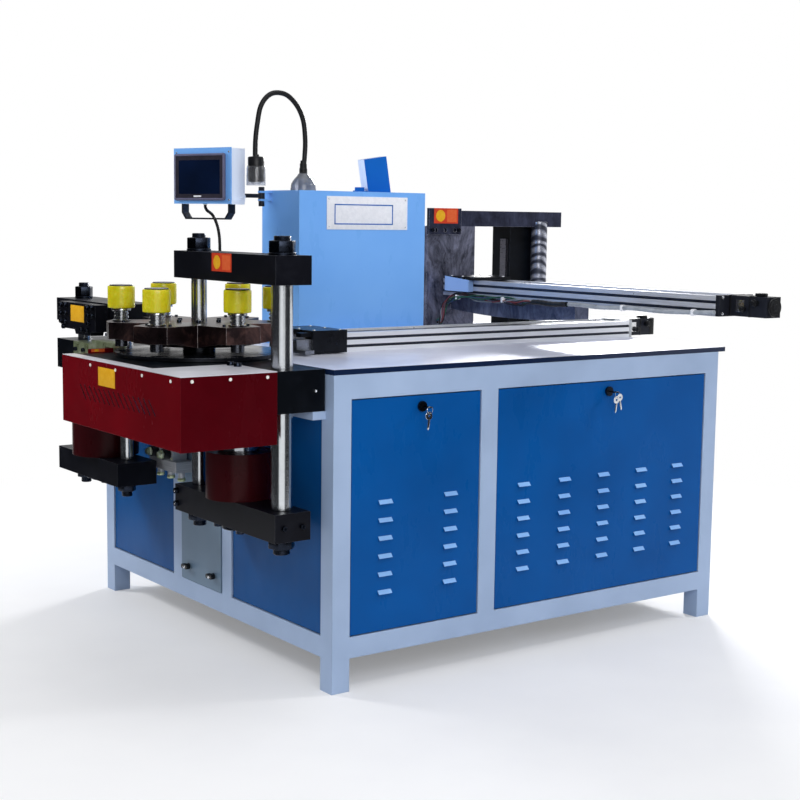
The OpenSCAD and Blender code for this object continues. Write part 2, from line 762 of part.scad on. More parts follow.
wires = curve([[944, 799.7, 896], [944, 793, 896], [944, 786, 896], [945, 774, 914], [946, 758, 954],
    [948, 709, 981],
    [950, 635, 984], [951, 549, 980], [951, 470, 983], [950, 388, 979], [950, 310, 984],
    [951, 240, 981], [950, 140, 986], [951, 32, 983], [950, -90, 988], [951, -207, 986],
    [950, -330, 990], [952, -404, 994]], 3);

module wires_b() placed() color("#4f6a55") tube_along(wires, 14, [1, 0, 0.02]);

// ---- bending station --------------------------------------------------------
module bend_frame() placed() color("#2c2e33") {
    y0 = bend_y[0];
    y1 = bend_y[1];
    span([880, y0, table_h], [1460, y1, bend_z[0]]);
    difference() {
        span([897, y0, bend_z[0]], [1099, y1, bend_z[1]]);
        translate([900, bend_mid, ram_z]) along_x() cylinder(h = 200, d = ram_d + 2 * fit);
    }
    span([1039, y0, bend_z[1]], [1489, y1, 1262]);
    post([1396, bend_y[0] + 10], bend_z[0], bend_z[1] + 18, 56);
    // bracket with three holes on the front
    difference() {
        span([895, y0 - 12, 1183], [1030, y0, 1269]);
        for (x = [924, 963, 1002]) translate([x, y0 - 13, 1197]) along_y() cylinder(h = 14, d = 14);
    }
    // arm that carries the bending rail on its bowed lower edge
    translate([1000, 0, 0]) rotate([90, 0, 90]) linear_extrude(55)
        polygon(concat([[y0, rail_b_z]],
            [for (k = [0:10]) [y0 - 61 * k, 922 + 14 * pow(k / 5 - 1, 2)]],
            [[y0 - 610, rail_b_z]]));
}

// the fixed half of the bending tool
module bend_die() placed() color("#15161a") {
    span([1283, bend_mid - 47, bend_z[0]], [1379, bend_mid + 47, bend_z[1]]);
    span([1275, bend_mid - 33, 1032], [1284, bend_mid - 4, 1168]);
}

module bend_ram() placed() color("#a9adb3")
    translate([905, bend_mid, ram_z]) along_x() cylinder(h = 194, d = ram_d);

frame();
table_top();
bed_a();
bed_b();
shroud();
deck();
turret_wheel();
die_wheel();
punch_guides();
punch_1();
punch_2();
punch_3();
punch_4();
punch_5();
punch_6();
spring_1();
spring_2();
spring_3();
spring_4();
spring_5();
spring_6();
crosshead_upper_a();
crosshead_lower_a();
pillars_a();
cylinder_a();
crosshead_upper_b();
crosshead_lower_b();
pillars_b();
cylinder_b();
pistons();
tool_holder_b();
lower_tools_b();
door_left();
door_right();
lock_left();
lock_right();
end_cover();
cover_knob_1();
cover_knob_2();
panels();
control_cabinet();
lamp();
hmi_arm();
hmi_case();
hmi_screen();
hmi_cable();
rear_box();
rail_a();
rail_b();
servo_motors();
carriage_a();
clamp_jaw();
carriage_b();
wires_b();
bend_frame();
bend_die();
bend_ram();
hydraulic_tank();
pump_motor();
valve_block();
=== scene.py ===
"""Looks for the busbar punching machine: camera, light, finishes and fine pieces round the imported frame."""
import math
import random

import bmesh
import bpy
from mathutils import Matrix, Vector


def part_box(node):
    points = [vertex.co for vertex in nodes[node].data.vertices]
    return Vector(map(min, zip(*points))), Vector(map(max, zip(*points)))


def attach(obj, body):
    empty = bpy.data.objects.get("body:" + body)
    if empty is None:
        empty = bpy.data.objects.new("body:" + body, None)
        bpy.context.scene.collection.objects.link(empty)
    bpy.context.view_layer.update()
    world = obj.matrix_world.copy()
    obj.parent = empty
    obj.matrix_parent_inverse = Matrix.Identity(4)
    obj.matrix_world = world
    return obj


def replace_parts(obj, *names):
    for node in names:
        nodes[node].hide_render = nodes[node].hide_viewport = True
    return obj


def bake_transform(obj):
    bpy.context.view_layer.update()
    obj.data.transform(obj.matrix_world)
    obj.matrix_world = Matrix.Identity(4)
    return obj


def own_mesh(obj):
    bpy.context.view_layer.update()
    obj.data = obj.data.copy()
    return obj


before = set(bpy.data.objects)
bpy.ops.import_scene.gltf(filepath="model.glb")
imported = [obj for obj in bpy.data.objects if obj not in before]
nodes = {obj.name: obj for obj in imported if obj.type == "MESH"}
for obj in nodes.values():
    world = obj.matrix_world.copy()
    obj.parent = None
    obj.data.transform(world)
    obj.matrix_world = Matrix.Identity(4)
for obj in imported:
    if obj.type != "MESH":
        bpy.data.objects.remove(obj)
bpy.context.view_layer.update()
scene = bpy.context.scene

# ---- places ----
# The CAD's own places are millimetres from the table's front left corner.
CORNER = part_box("table_top")[0]
UP, DOWN = (0, 0, 1), (0, 0, -1)
LEFT, FRONT = (-1, 0, 0), (0, -1, 0)


def at(x, y, z):
    """A CAD place in millimetres as a point of the row frame in metres."""
    return Vector((CORNER.x + x / 1000, CORNER.y + y / 1000, z / 1000))


def from_corner(point):
    """The CAD place in millimetres of a point of the row frame."""
    return (point.x - CORNER.x) * 1000, (point.y - CORNER.y) * 1000, point.z * 1000


def mm(value):
    return value / 1000


def add_object(name, data):
    made = bpy.data.objects.new(name, data)
    scene.collection.objects.link(made)
    return made


def on_circle(count, start=0.0):
    """Angles at equal steps round a circle, from a start in degrees."""
    return [2 * math.pi * k / count + math.radians(start) for k in range(count)]


PRESS_X = -98
PILLAR_NEAR = 91
PILLAR_FAR = 528
RING_R = 212
PRESS_B_X = -147
PILLARS_B = (890, 1180)
HEAD_LOW = (412, 486)
HEAD_UP = (1064, 1138)
HEAD_B_LOW = (441, 510)
HEAD_B_UP = (907, 976)
STATION_ANGLES = on_circle(6, -90)
STATIONS = [(PRESS_X + RING_R * math.cos(a), PILLAR_FAR + RING_R * math.sin(a)) for a in STATION_ANGLES]

# ---- camera ----
CAMERA_AT = (-2054.8, -3088.0, 1231.6)
CAMERA_YAW = 36.236
CAMERA_PITCH = 7.008
CAMERA_ROLL = 0.742
CAMERA_LENS = 66.25


def make_camera():
    data = bpy.data.cameras.new("camera")
    data.lens = CAMERA_LENS
    data.sensor_width = 36
    data.clip_start = 0.1
    data.clip_end = 60
    camera = add_object("camera", data)
    pose = Matrix.Translation(at(*CAMERA_AT))
    for angle, axis in ((-CAMERA_YAW, "Z"), (90 - CAMERA_PITCH, "X"), (CAMERA_ROLL, "Z")):
        pose = pose @ Matrix.Rotation(math.radians(angle), 4, axis)
    camera.matrix_world = pose
    scene.camera = camera


make_camera()

# ---- solids for fine pieces ----
SMOOTH_BELOW = math.radians(35)
SHARP_ABOVE = 0.6  # radians between the faces of an edge that gets rounded


def square_to(axis):
    """A direction and two others square to it."""
    z = Vector(axis).normalized()
    x = z.orthogonal().normalized()
    return x, z.cross(x), z


def circle(part, centre, x, y, radius, sides):
    """A ring of vertices round a centre, in metres."""
    return [part.verts.new(centre + radius * (math.cos(a) * x + math.sin(a) * y)) for a in on_circle(sides)]


def skin(part, rings):
    """Faces from each ring of vertices to the next; a ring of one vertex is a tip."""
    for a, b in zip(rings, rings[1:]):
        count = max(len(a), len(b))
        for k in range(count):
            j = (k + 1) % count
            corners = dict.fromkeys((a[k % len(a)], a[j % len(a)], b[j % len(b)], b[k % len(b)]))
            if len(corners) > 2:
                part.faces.new(list(corners))


class Solids:
    """Collects solids, given at CAD places in millimetres, and makes them one piece."""

    def __init__(self):
        self.bm = bmesh.new()

    def take(self, part, edge=0.0):
        """Rounds the sharp edges of a part by edge millimetres and keeps it."""
        bmesh.ops.recalc_face_normals(part, faces=part.faces)
        if edge:
            sharp = [e for e in part.edges if len(e.link_faces) == 2 and e.calc_face_angle() > SHARP_ABOVE]
            bmesh.ops.bevel(part, geom=sharp, offset=mm(edge), segments=2, profile=0.5,
                            affect="EDGES", clamp_overlap=True)
        mesh = bpy.data.meshes.new("part")
        part.to_mesh(mesh)
        part.free()
        self.bm.from_mesh(mesh)
        bpy.data.meshes.remove(mesh)

    def prism(self, outline, offset, edge=0.0):
        """An outline of CAD places, pushed by an offset in millimetres."""
        part = bmesh.new()
        near = [part.verts.new(at(*p)) for p in outline]
        move = Vector([mm(v) for v in offset])
        far = [part.verts.new(v.co + move) for v in near]
        part.faces.new(near)
        part.faces.new(far[::-1])
        skin(part, [near, far])
        self.take(part, edge)

    def box(self, lo, hi, edge=0.0):
        """A block between two corners."""
        base = [(lo[0], lo[1], lo[2]), (hi[0], lo[1], lo[2]), (hi[0], hi[1], lo[2]), (lo[0], hi[1], lo[2])]
        self.prism(base, (0, 0, hi[2] - lo[2]), edge)

    def hexagon(self, base, axis, across, height, edge=1.5):
        """A hexagonal nut or bolt head standing on base."""
        x, y, z = square_to(axis)
        radius = across / 2 / math.cos(math.radians(30))
        outline = [Vector(base) + radius * (math.cos(a) * x + math.sin(a) * y) for a in on_circle(6)]
        self.prism(outline, z * height, edge)

    def turned(self, base, axis, profile, sides=48, hollow=False):
        """A turned part: profile is pairs of height along the axis and radius, from base."""
        part = bmesh.new()
        x, y, z = square_to(axis)
        rings = []
        for height, radius in profile:
            centre = at(*base) + z * mm(height)
            tip = radius < 1e-6
            rings.append([part.verts.new(centre)] if tip else circle(part, centre, x, y, mm(radius), sides))
        skin(part, rings + rings[:1] if hollow else rings)
        for ring in () if hollow else (rings[0], rings[-1]):
            if len(ring) > 1:
                part.faces.new(ring)
        self.take(part)

    def tube(self, points, diameter, sides=12, swell=lambda i: 1):
        """A round rod along points in metres; swell changes its radius from ring to ring."""
        part = bmesh.new()
        rings = []
        last = len(points) - 1
        side = (points[1] - points[0]).normalized().orthogonal()
        for i, p in enumerate(points):
            ahead = (points[min(i + 1, last)] - points[max(i - 1, 0)]).normalized()
            side = (side - ahead * side.dot(ahead)).normalized()
            rings.append(circle(part, p, side, ahead.cross(side), mm(diameter) / 2 * swell(i), sides))
        skin(part, rings)
        part.faces.new(rings[0])
        part.faces.new(rings[-1])
        self.take(part)

    def cap_screw(self, base, axis, d):
        """A socket head cap screw's head, d across, with its socket."""
        outline = [(0, 0), (0, 1), (1, 1), (1.2, 0.88), (1.2, 0.55), (0.6, 0.5), (0.6, 0)]
        self.turned(base, axis, [(h * d / 2, r * d / 2) for h, r in outline], 24)

    def dome_screw(self, base, axis, d):
        """A round-headed screw's head."""
        dome = [(0.62 * math.sin(a), math.cos(a)) for a in (math.radians(v) for v in (0, 20, 40, 60, 78))]
        self.turned(base, axis, [(h * d / 2, r * d / 2) for h, r in [(0, 0)] + dome + [(0.62, 0)]], 20)

    def piece(self, name, finish, body, slot):
        """One object of everything collected, riding on a body."""
        mesh = bpy.data.meshes.new(name)
        self.bm.to_mesh(mesh)
        self.bm.free()
        mesh.materials.append(finish)
        for polygon in mesh.polygons:
            polygon.use_smooth = True
        mesh.set_sharp_from_angle(angle=SMOOTH_BELOW)
        made = add_object(name, mesh)
        if body:
            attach(made, body)
        return made


def turned_piece(name, finish, body, slot, *shape):
    """A piece of one turned part."""
    part = Solids()
    part.turned(*shape)
    return part.piece(name, finish, body, slot)


def plate(name, finish, body, lo, hi, slot, edge=0.0):
    """A piece of one block."""
    part = Solids()
    part.box(lo, hi, edge)
    return part.piece(name, finish, body, slot)


def screws(name, finish, body, slot, kind, d, axis, places):
    """A piece of all the screw heads of one kind."""
    part = Solids()
    for place in places:
        (part.cap_screw if kind == "cap" else part.dome_screw)(place, axis, d)
    return part.piece(name, finish, body, slot)


def curve(points, steps):
    """The smooth curve that the CAD draws through its route points, in metres."""
    p = [at(*q) for q in points]
    line = []
    for i in range(len(p) - 1):
        a, b, c, d = p[max(i - 1, 0)], p[i], p[i + 1], p[min(i + 2, len(p) - 1)]
        for s in range(steps):
            t = s / steps
            line.append(0.5 * (2 * b + (c - a) * t + (2 * a - 5 * b + 4 * c - d) * t * t
                               + (3 * b - a - 3 * c + d) * t * t * t))
    return line + [p[-1]]


# ---- finishes ----
WHITE = (1, 1, 1, 1)


def light(code):
    """A colour written as on a paint card, in linear light."""
    values = [int(code[i:i + 2], 16) / 255 for i in (1, 3, 5)]
    return tuple(v / 12.92 if v <= 0.04045 else ((v + 0.055) / 1.055) ** 2.4 for v in values) + (1,)


class Nodes:
    """The nodes of a material or of the world."""

    def __init__(self, owner):
        owner.use_nodes = True
        self.tree = owner.node_tree
        self.tree.nodes.clear()

    def node(self, kind, *inputs, **settings):
        """A node with its first inputs; a setting with a capital is an input by name."""
        made = self.tree.nodes.new("ShaderNode" + kind)
        for key, value in settings.items():
            if key[0].isupper():
                self.put(made.inputs[key.replace("_", " ")], value)
            else:
                setattr(made, key, value)
        for socket, value in zip(made.inputs, inputs):
            self.put(socket, value)
        return made

    def put(self, socket, value):
        """Links or sets an input; None leaves it as it is."""
        if isinstance(value, bpy.types.NodeSocket):
            self.tree.links.new(value, socket)
        elif value is not None:
            socket.default_value = light(value) if isinstance(value, str) else value

    def calc(self, operation, *values):
        return self.node("Math", *values, operation=operation).outputs[0]

    def ramp(self, value, *stops):
        """Colours or greys at positions from 0 to 1."""
        made = self.node("ValToRGB", value)
        elements = made.color_ramp.elements
        while len(elements) < len(stops):
            elements.new(0.5)
        for element, (position, colour) in zip(elements, stops):
            element.position = position
            element.color = light(colour) if isinstance(colour, str) else (colour,) * 3 + (1,)
        return made.outputs[0]

    def mix(self, share, a, b):
        made = self.node("Mix", share, data_type="RGBA")
        self.put(made.inputs[6], a)
        self.put(made.inputs[7], b)
        return made.outputs[2]

    def between(self, value, low, high, a, b, most=1.0):
        """Colour a, and towards colour b as a value goes from low to high."""
        return self.mix(self.ramp(value, (low, 0.0), (high, most)), a, b)


class Finish(Nodes):
    """A material and what its look is made of."""

    def __init__(self, name, soft=None, **constants):
        """soft is the radius in millimetres that sharp edges seem to have."""
        self.material = bpy.data.materials.new(name)
        super().__init__(self.material)
        self.shader = self.node("BsdfPrincipled", **constants)
        self.output = self.node("OutputMaterial", self.shader.outputs[0])
        self.place = self.node("TexCoord").outputs["Object"]
        self.normal = self.rounded(soft) if soft else None

    def stretched(self, scale):
        return self.node("Mapping", self.place, Scale=scale).outputs[0]

    def noise(self, scale, detail=3.0, rough=0.55, stretch=None, warp=0.0):
        place = self.stretched(stretch) if stretch else self.place
        made = self.node("TexNoise", place, Scale=scale, Detail=detail, Roughness=rough, Distortion=warp)
        return made.outputs["Fac"]

    def faces_up(self):
        """1 on faces that look up, else 0."""
        normal = self.node("TexCoord").outputs["Normal"]
        return self.calc("GREATER_THAN", self.node("SeparateXYZ", normal).outputs["Z"], 0.9)

    def rounded(self, radius):
        return self.node("Bevel", samples=4, Radius=mm(radius)).outputs[0]

    def wear(self, tone, radius, amount, bare):
        """A tone that goes bare along sharp edges, broken up by noise."""
        flat = self.node("NewGeometry").outputs["Normal"]
        same = self.node("VectorMath", self.rounded(radius), flat, operation="DOT_PRODUCT")
        near = self.calc("SUBTRACT", 1.0, same.outputs["Value"])
        broken = self.calc("MULTIPLY", near, self.calc("ADD", self.noise(60, 4, 0.7), 0.2))
        return self.between(broken, amount * 0.5, amount, tone, bare)

    def bump(self, height, depth):
        """Relief of a depth in millimetres."""
        made = self.node("Bump", Strength=1.0, Distance=mm(depth), Height=height, Normal=self.normal)
        self.normal = made.outputs[0]

    def set(self, colour, rough, metal=None):
        for socket, value in (("Base Color", colour), ("Roughness", rough), ("Metallic", metal),
                              ("Normal", self.normal)):
            self.put(self.shader.inputs[socket], value)
        return self.material

    def done(self, colour, value, smooth, rough, low=0.3, high=0.7):
        """The material, whose roughness goes from smooth to rough as a value goes from low to high."""
        return self.set(colour, self.ramp(value, (low, smooth), (high, rough)))


def paint(name, colour, deeper, rough=0.34, peel=0.05, edge=1.2, chip=None, gloss=0.22):
    """Sprayed paint: slight clouds in the colour, orange peel, softened and lightly worn edges."""
    f = Finish(name, edge, Specular_IOR_Level=gloss)
    tone = f.between(f.noise(3.5, 3, 0.6), 0.3, 0.7, deeper, colour)
    if chip:
        tone = f.wear(tone, 1.6, 0.22, chip)
    f.bump(f.noise(420, 2, 0.5), peel)
    smear = f.noise(14, 4, 0.65, stretch=(1, 1, 0.4))
    return f.done(tone, smear, rough - 0.06, rough + 0.08, high=0.75)


def bright_steel(name, colour, deeper, rough, along=(60, 60, 900), edge=0.8):
    """Ground or turned steel: fine lines across, faint staining."""
    f = Finish(name, edge, Metallic=1.0)
    lines = f.noise(1.0, 3, 0.6, stretch=along)
    tone = f.between(f.noise(18, 4, 0.65), 0.35, 0.8, colour, deeper, 0.6)
    f.bump(lines, 0.015)
    return f.done(tone, lines, rough - 0.06, rough + 0.1)


def black_steel(name, colour, rub, rough=0.36):
    """Black paint on sawn steel: faint cloudy rubs, light edges, small pits."""
    f = Finish(name, 1.6, Specular_IOR_Level=0.12)
    rubs = f.ramp(f.noise(9, 5, 0.68, warp=0.6), (0.45, 0.0), (0.78, 1.0))
    scratches = f.ramp(f.noise(22, 3, 0.7, stretch=(1, 8, 1)), (0.62, 0.0), (0.75, 0.5))
    tone = f.mix(f.calc("MULTIPLY", rubs, 0.55), colour, rub)
    tone = f.mix(f.calc("MULTIPLY", scratches, 0.4), tone, "#3c3e45")
    tone = f.wear(tone, 1.8, 0.2, "#5d6068")
    f.bump(f.noise(160, 3, 0.6), 0.06)
    return f.done(tone, rubs, rough, rough + 0.12, 0.0, 1.0)


def moulded(name, colour, lighter, rough=0.42, grain=0.06, scale=700, **constants):
    """Moulded plastic or rubber with a fine grain."""
    f = Finish(name, 0.6, Specular_IOR_Level=0.3, **constants)
    tone = f.between(f.noise(25, 3), 0.35, 0.75, colour, lighter)
    f.bump(f.noise(scale, 2), grain)
    return f.done(tone, f.noise(40, 3), rough - 0.05, rough + 0.07)


def enamel(name, colour, lighter, rough=0.3):
    """A flat printed or enamelled colour field with a faint sheen and fine dust."""
    f = Finish(name, Specular_IOR_Level=0.25)
    tone = f.between(f.noise(90, 4, 0.7), 0.4, 0.8, colour, lighter)
    f.bump(f.noise(500, 2), 0.02)
    return f.done(tone, f.noise(60, 2), rough, rough + 0.15)


def table_finish():
    """Pale ground sheet with a dark painted edge."""
    f = Finish("table_steel", 1.0, Specular_IOR_Level=0.3)
    swirl = f.noise(5, 5, 0.62, warp=0.8)
    lines = f.noise(1.0, 3, 0.6, stretch=(9, 260, 40))
    top = f.between(swirl, 0.3, 0.75, "#d6d9ea", "#e8eaf5")
    top = f.between(lines, 0.6, 0.8, top, "#dfe0ec", 0.35)
    up = f.faces_up()
    f.bump(lines, 0.02)
    rough = f.mix(up, "#808080", f.ramp(swirl, (0.3, 0.3), (0.75, 0.42)))
    return f.set(f.mix(up, "#10203e", top), rough, f.calc("MULTIPLY", up, 0.3))


def deck_finish():
    """Smooth white-plated sheet over the shroud."""
    f = Finish("deck_steel", 0.8, Metallic=0.2)
    cloud = f.noise(7, 4, 0.6)
    f.bump(f.noise(300, 2), 0.02)
    return f.done(f.between(cloud, 0.3, 0.7, "#d3d3dc", "#e6e6ec"), cloud, 0.28, 0.4)


def wheel_finish():
    """Machined steel gone brown, rubbed bright along the edges."""
    f = Finish("wheel_steel", 1.6, Metallic=0.85)
    bloom = f.noise(11, 5, 0.68, warp=0.7)
    tone = f.ramp(bloom, (0.28, "#100d10"), (0.5, "#35282a"), (0.72, "#7a5a54"))
    tone = f.between(f.noise(260, 3, 0.7), 0.6, 0.75, tone, "#6e5c58", 0.5)
    tone = f.wear(tone, 2.2, 0.12, "#cfc6c4")
    f.bump(f.noise(240, 3, 0.6), 0.05)
    return f.done(tone, bloom, 0.26, 0.42)


def die_finish():
    """Blackened disc with fine turned rings."""
    f = Finish("die_steel", 0.8, Metallic=0.8)
    cloud = f.noise(10, 4, 0.6, warp=0.5)
    tone = f.wear(f.between(cloud, 0.35, 0.75, "#15171c", "#2b2e37"), 1.0, 0.2, "#70747f")
    f.bump(f.noise(1.0, 2, 0.5, stretch=(30, 30, 700)), 0.02)
    return f.done(tone, cloud, 0.18, 0.34)


def urethane_finish():
    """Cast yellow polyurethane, a little see-through."""
    f = Finish("urethane", 1.6, Subsurface_Weight=0.25, Subsurface_Scale=0.02, Specular_IOR_Level=0.6)
    cloud = f.noise(30, 3, 0.6)
    f.bump(f.noise(90, 3, 0.6), 0.05)
    return f.done(f.between(cloud, 0.3, 0.75, "#cdc208", "#e2d824"), cloud, 0.2, 0.3)


def zinc_finish():
    """Yellow-green passivated zinc with cloudy brushing."""
    f = Finish("plated_green", 1.6, Metallic=0.75)
    cloud = f.noise(26, 4, 0.7, warp=1.2)
    tone = f.ramp(cloud, (0.3, "#8f9c72"), (0.52, "#b9c69c"), (0.72, "#dde3cf"))
    f.bump(f.noise(200, 3), 0.04)
    return f.done(tone, cloud, 0.25, 0.42)


def flame_cut_finish(name, dark, pale, amount):
    """Heavy plate, wiped and ground by hand: pale clouds and arcs over dark scale."""
    f = Finish(name, 1.6, Metallic=0.55)
    cloud = f.noise(7, 6, 0.7, warp=1.6)
    arcs = f.noise(16, 5, 0.75, stretch=(1, 1, 0.45), warp=2.2)
    tone = f.between(f.calc("MULTIPLY", cloud, arcs), 0.14, 0.42, dark, pale, amount)
    tone = f.wear(tone, 2.0, 0.2, "#c3c4ce")
    f.bump(arcs, 0.18)
    f.bump(f.noise(180, 3), 0.05)
    return f.done(tone, cloud, 0.34, 0.52)


def column_finish():
    """Column polished with a belt, which left slanting bands."""
    f = Finish("column_steel", 1.0, Metallic=0.6)
    place = f.stretched((1.2, 1.2, 3.0))
    wave = f.node("TexWave", place, bands_direction="DIAGONAL", Scale=7, Distortion=5.0)
    bands = wave.outputs["Fac"]
    tone = f.ramp(bands, (0.15, "#40434f"), (0.5, "#7d8190"), (0.85, "#bcbfcb"))
    f.bump(bands, 0.12)
    f.bump(f.noise(1.0, 3, 0.6, stretch=(60, 60, 300)), 0.02)
    return f.done(tone, bands, 0.4, 0.24, 0.2, 0.8)


def aluminium_finish(name, tone, paler, rough=0.3, metal=0.35, belt=None):
    """Clear anodised extrusion with lines along its length; belt paints the shade of the belt slot as a dark
    band on its top between two places in y.
    """
    f = Finish(name, 0.8, Metallic=metal)
    lines = f.noise(1.0, 3, 0.6, stretch=(14, 14, 420))
    tone = f.between(lines, 0.35, 0.7, tone, paler)
    if belt:
        start, end, dark = belt
        y = f.node("SeparateXYZ", f.place).outputs["Y"]
        inside = f.calc("MULTIPLY", f.calc("GREATER_THAN", y, start), f.calc("LESS_THAN", y, end))
        tone = f.mix(f.calc("MULTIPLY", inside, f.faces_up()), tone, dark)
    f.bump(lines, 0.01)
    return f.done(tone, f.noise(12, 3), rough - 0.04, rough + 0.08)


def screen_finish():
    """Dark glass over a switched-off display."""
    f = Finish("screen_glass", Specular_IOR_Level=0.16)
    tone = f.ramp(f.noise(6, 2), (0.3, "#061024"), (0.7, "#0a1834"))
    return f.done(tone, f.noise(50, 2), 0.12, 0.2)


def clear_finish(name, deep, pale, share):
    """Clear plastic, faintly scuffed; share is how much of the light goes through."""
    f = Finish(name, Transmission_Weight=share, IOR=1.45)
    tone = f.ramp(f.noise(30, 2), (0.3, deep), (0.7, pale))
    f.bump(f.noise(300, 2), 0.02)
    return f.done(tone, f.noise(60, 3), 0.08, 0.2)


FRAME_PAINT = paint("frame_paint", "#a5b9d6", "#97abc8", 0.36, 0.06, 2.2, chip="#76839a")
DOOR_BLUE = paint("door_blue", "#00529a", "#00498c", 0.3, 0.04, 1.4, chip="#2a66a6", gloss=0.1)
PANEL_BLUE = paint("panel_blue", "#07508f", "#04457f", 0.34, 0.05, 1.4, gloss=0.1)
CABINET_BLUE = paint("cabinet_blue", "#7cb5f6", "#71abf0", 0.3, 0.04, 1.6, chip="#b4d0f4")
BOX_BLUE = paint("box_blue", "#1166c0", "#0c5cb2", 0.3, 0.04)
# A near-white copy of the blue for the sides of the operator panel's case and one face of the rear box:
# painted light on faces that catch the lamps.
PAINTED_LIGHT_BLUE = paint("blue_painted_light", "#eaf2ff", "#dfeafd", 0.3, 0.04)
BLOCK_BLUE = paint("block_blue", "#93b3e2", "#86a7d9", 0.3, 0.04, 0.8)
# A paler blue for the louvre tops of the doors: a painted highlight.
LOUVRE_HIGHLIGHT_BLUE = paint("louvre_painted_highlight", "#8fbdf0", "#7badea", 0.3, 0.03, 0.5)
SHROUD_RED = paint("shroud_red", "#6c0410", "#58030c", 0.24, 0.03, 1.5, chip="#8c2a30", gloss=0.1)
# A darker copy of the shroud's red for its front faces: painted shade.
SHROUD_SHADE = paint("shroud_painted_shade", "#50030d", "#410209", 0.24, 0.03, 1.5, chip="#7c2228", gloss=0.08)
CYLINDER_RED = paint("cylinder_red", "#3c080f", "#2c0609", 0.3, 0.06, 1.5, gloss=0.1)
COVER_GREY = paint("cover_grey", "#748a9e", "#687e92", 0.4, 0.06)
TANK_PAINT = paint("tank_paint", "#33424d", "#27333c", 0.4, 0.08, 2.0)
BLACK_PAINT = paint("black_paint", "#22252f", "#191b22", 0.36, 0.08, chip="#3a3d45", gloss=0.2)
HEAD_BLACK = black_steel("head_black", "#0d0e15", "#1f2129")
BED_BLACK = black_steel("bed_black", "#06090f", "#141922", 0.34)
PILLAR_STEEL = bright_steel("pillar_steel", "#d6dade", "#bcc1c8", 0.17)
NECK_STEEL = bright_steel("neck_steel", "#c3c6ca", "#7d8086", 0.18, (60, 60, 1400), 0.5)
JAW_STEEL = bright_steel("jaw_steel", "#b9bec8", "#868b95", 0.3, (300, 40, 300))
BAR_STEEL = bright_steel("bar_steel", "#8c8c98", "#6e6f7b", 0.3, (300, 40, 300))
CHROME = bright_steel("chrome", "#e2e4e8", "#b8bbc0", 0.1, (80, 80, 80), 0.4)
ROD_CHROME = bright_steel("rod_chrome", "#b4b8be", "#8c9198", 0.1, (40, 40, 700))
NUT_BLACK = bright_steel("nut_black", "#282d38", "#161a22", 0.26, (90, 90, 90), 1.2)
# A dark steel tone for the inner faces of the rails' slots: painted shade in the grooves.
GROOVE_SHADE = bright_steel("groove_painted_shade", "#4a4d58", "#3a3d47", 0.4, (14, 14, 420))
PUNCH_STEEL = bright_steel("punch_steel", "#565960", "#2c2e33", 0.2, edge=0.9)
TABLE_STEEL = table_finish()
DECK_STEEL = deck_finish()
WHEEL_STEEL = wheel_finish()
DIE_STEEL = die_finish()
COLUMN_STEEL = column_finish()
BEND_STEEL = flame_cut_finish("bend_steel", "#1b1d2a", "#9699b2", 1.0)
BEAM_STEEL = flame_cut_finish("beam_steel", "#0f1328", "#535976", 0.6)
ARM_STEEL = flame_cut_finish("arm_steel", "#3a4058", "#8a92ac", 0.9)
URETHANE = urethane_finish()
ZINC = zinc_finish()
# A dark band on rail A's flat top: painted shade of the belt slot.
RAIL_A_SLOT_SHADE = (at(0, 428, 0).y, at(0, 537, 0).y, "#3b3e48")
RAIL_ALUMINIUM = aluminium_finish("rail_aluminium", "#e2e5ec", "#eff1f5", belt=RAIL_A_SLOT_SHADE)
RAIL_ALUMINIUM_B = aluminium_finish("rail_aluminium_b", "#c4c7d0", "#dcdee6", metal=0.5)
VALVE_ALUMINIUM = aluminium_finish("valve_aluminium", "#a9adb2", "#c4c7cb", 0.34)
PLASTIC_BLACK = moulded("plastic_black", "#0d0e11", "#17191d", 0.34)
RUBBER_BLACK = moulded("rubber_black", "#0f1012", "#1b1c1f", 0.5, 0.1, 900)
SADDLE_BLACK = moulded("saddle_black", "#101217", "#1c1f26", 0.3, 0.04, Metallic=0.4)
BORDER_BROWN = moulded("border_brown", "#2c2a33", "#38343f", 0.34)
BEZEL_GREY = moulded("bezel_grey", "#62627c", "#6e6e88", 0.36, 0.05)
MOTOR_GREY = paint("motor_grey", "#5f7480", "#4d606b", 0.42, 0.1, 2.0)
PALE_WRAP = moulded("pale_wrap", "#8d949c", "#b4bac2", 0.3, 0.2, 120)
WIRE_TONES = [("green", "#1f4a38", "#2f6650"), ("red", "#6a3038", "#8a4a50"), ("black", "#121417", "#22262b"),
              ("grey", "#7b858e", "#9aa4ad"), ("blue", "#26405e", "#3a587c")]
WIRE_COLOURS = [moulded(f"wire_{name}", tone, paler, 0.42, 0.05) for name, tone, paler in WIRE_TONES]
LABEL_YELLOW = enamel("label_yellow", "#e2a512", "#edb931")
LABEL_RED = enamel("label_red", "#c8381c", "#d94b2a")
LABEL_ORANGE = enamel("label_orange", "#dc5c2c", "#e36f3e")
PLATE_WHITE = enamel("plate_white", "#e6e8ee", "#f2f3f7", 0.2)
FIELD_BLUE = enamel("field_blue", "#2a62b4", "#3a70c0", 0.25)
SCREW_WHITE = enamel("screw_white", "#e8e4dc", "#f5f2ec", 0.22)
SCREEN_GLASS = screen_finish()
SHADE_CLEAR = clear_finish("lamp_shade_clear", "#c9ccd4", "#dfe2e8", 0.98)
SMOKY = clear_finish("lamp_foot_smoky", "#6e727c", "#9a9ea8", 0.5)

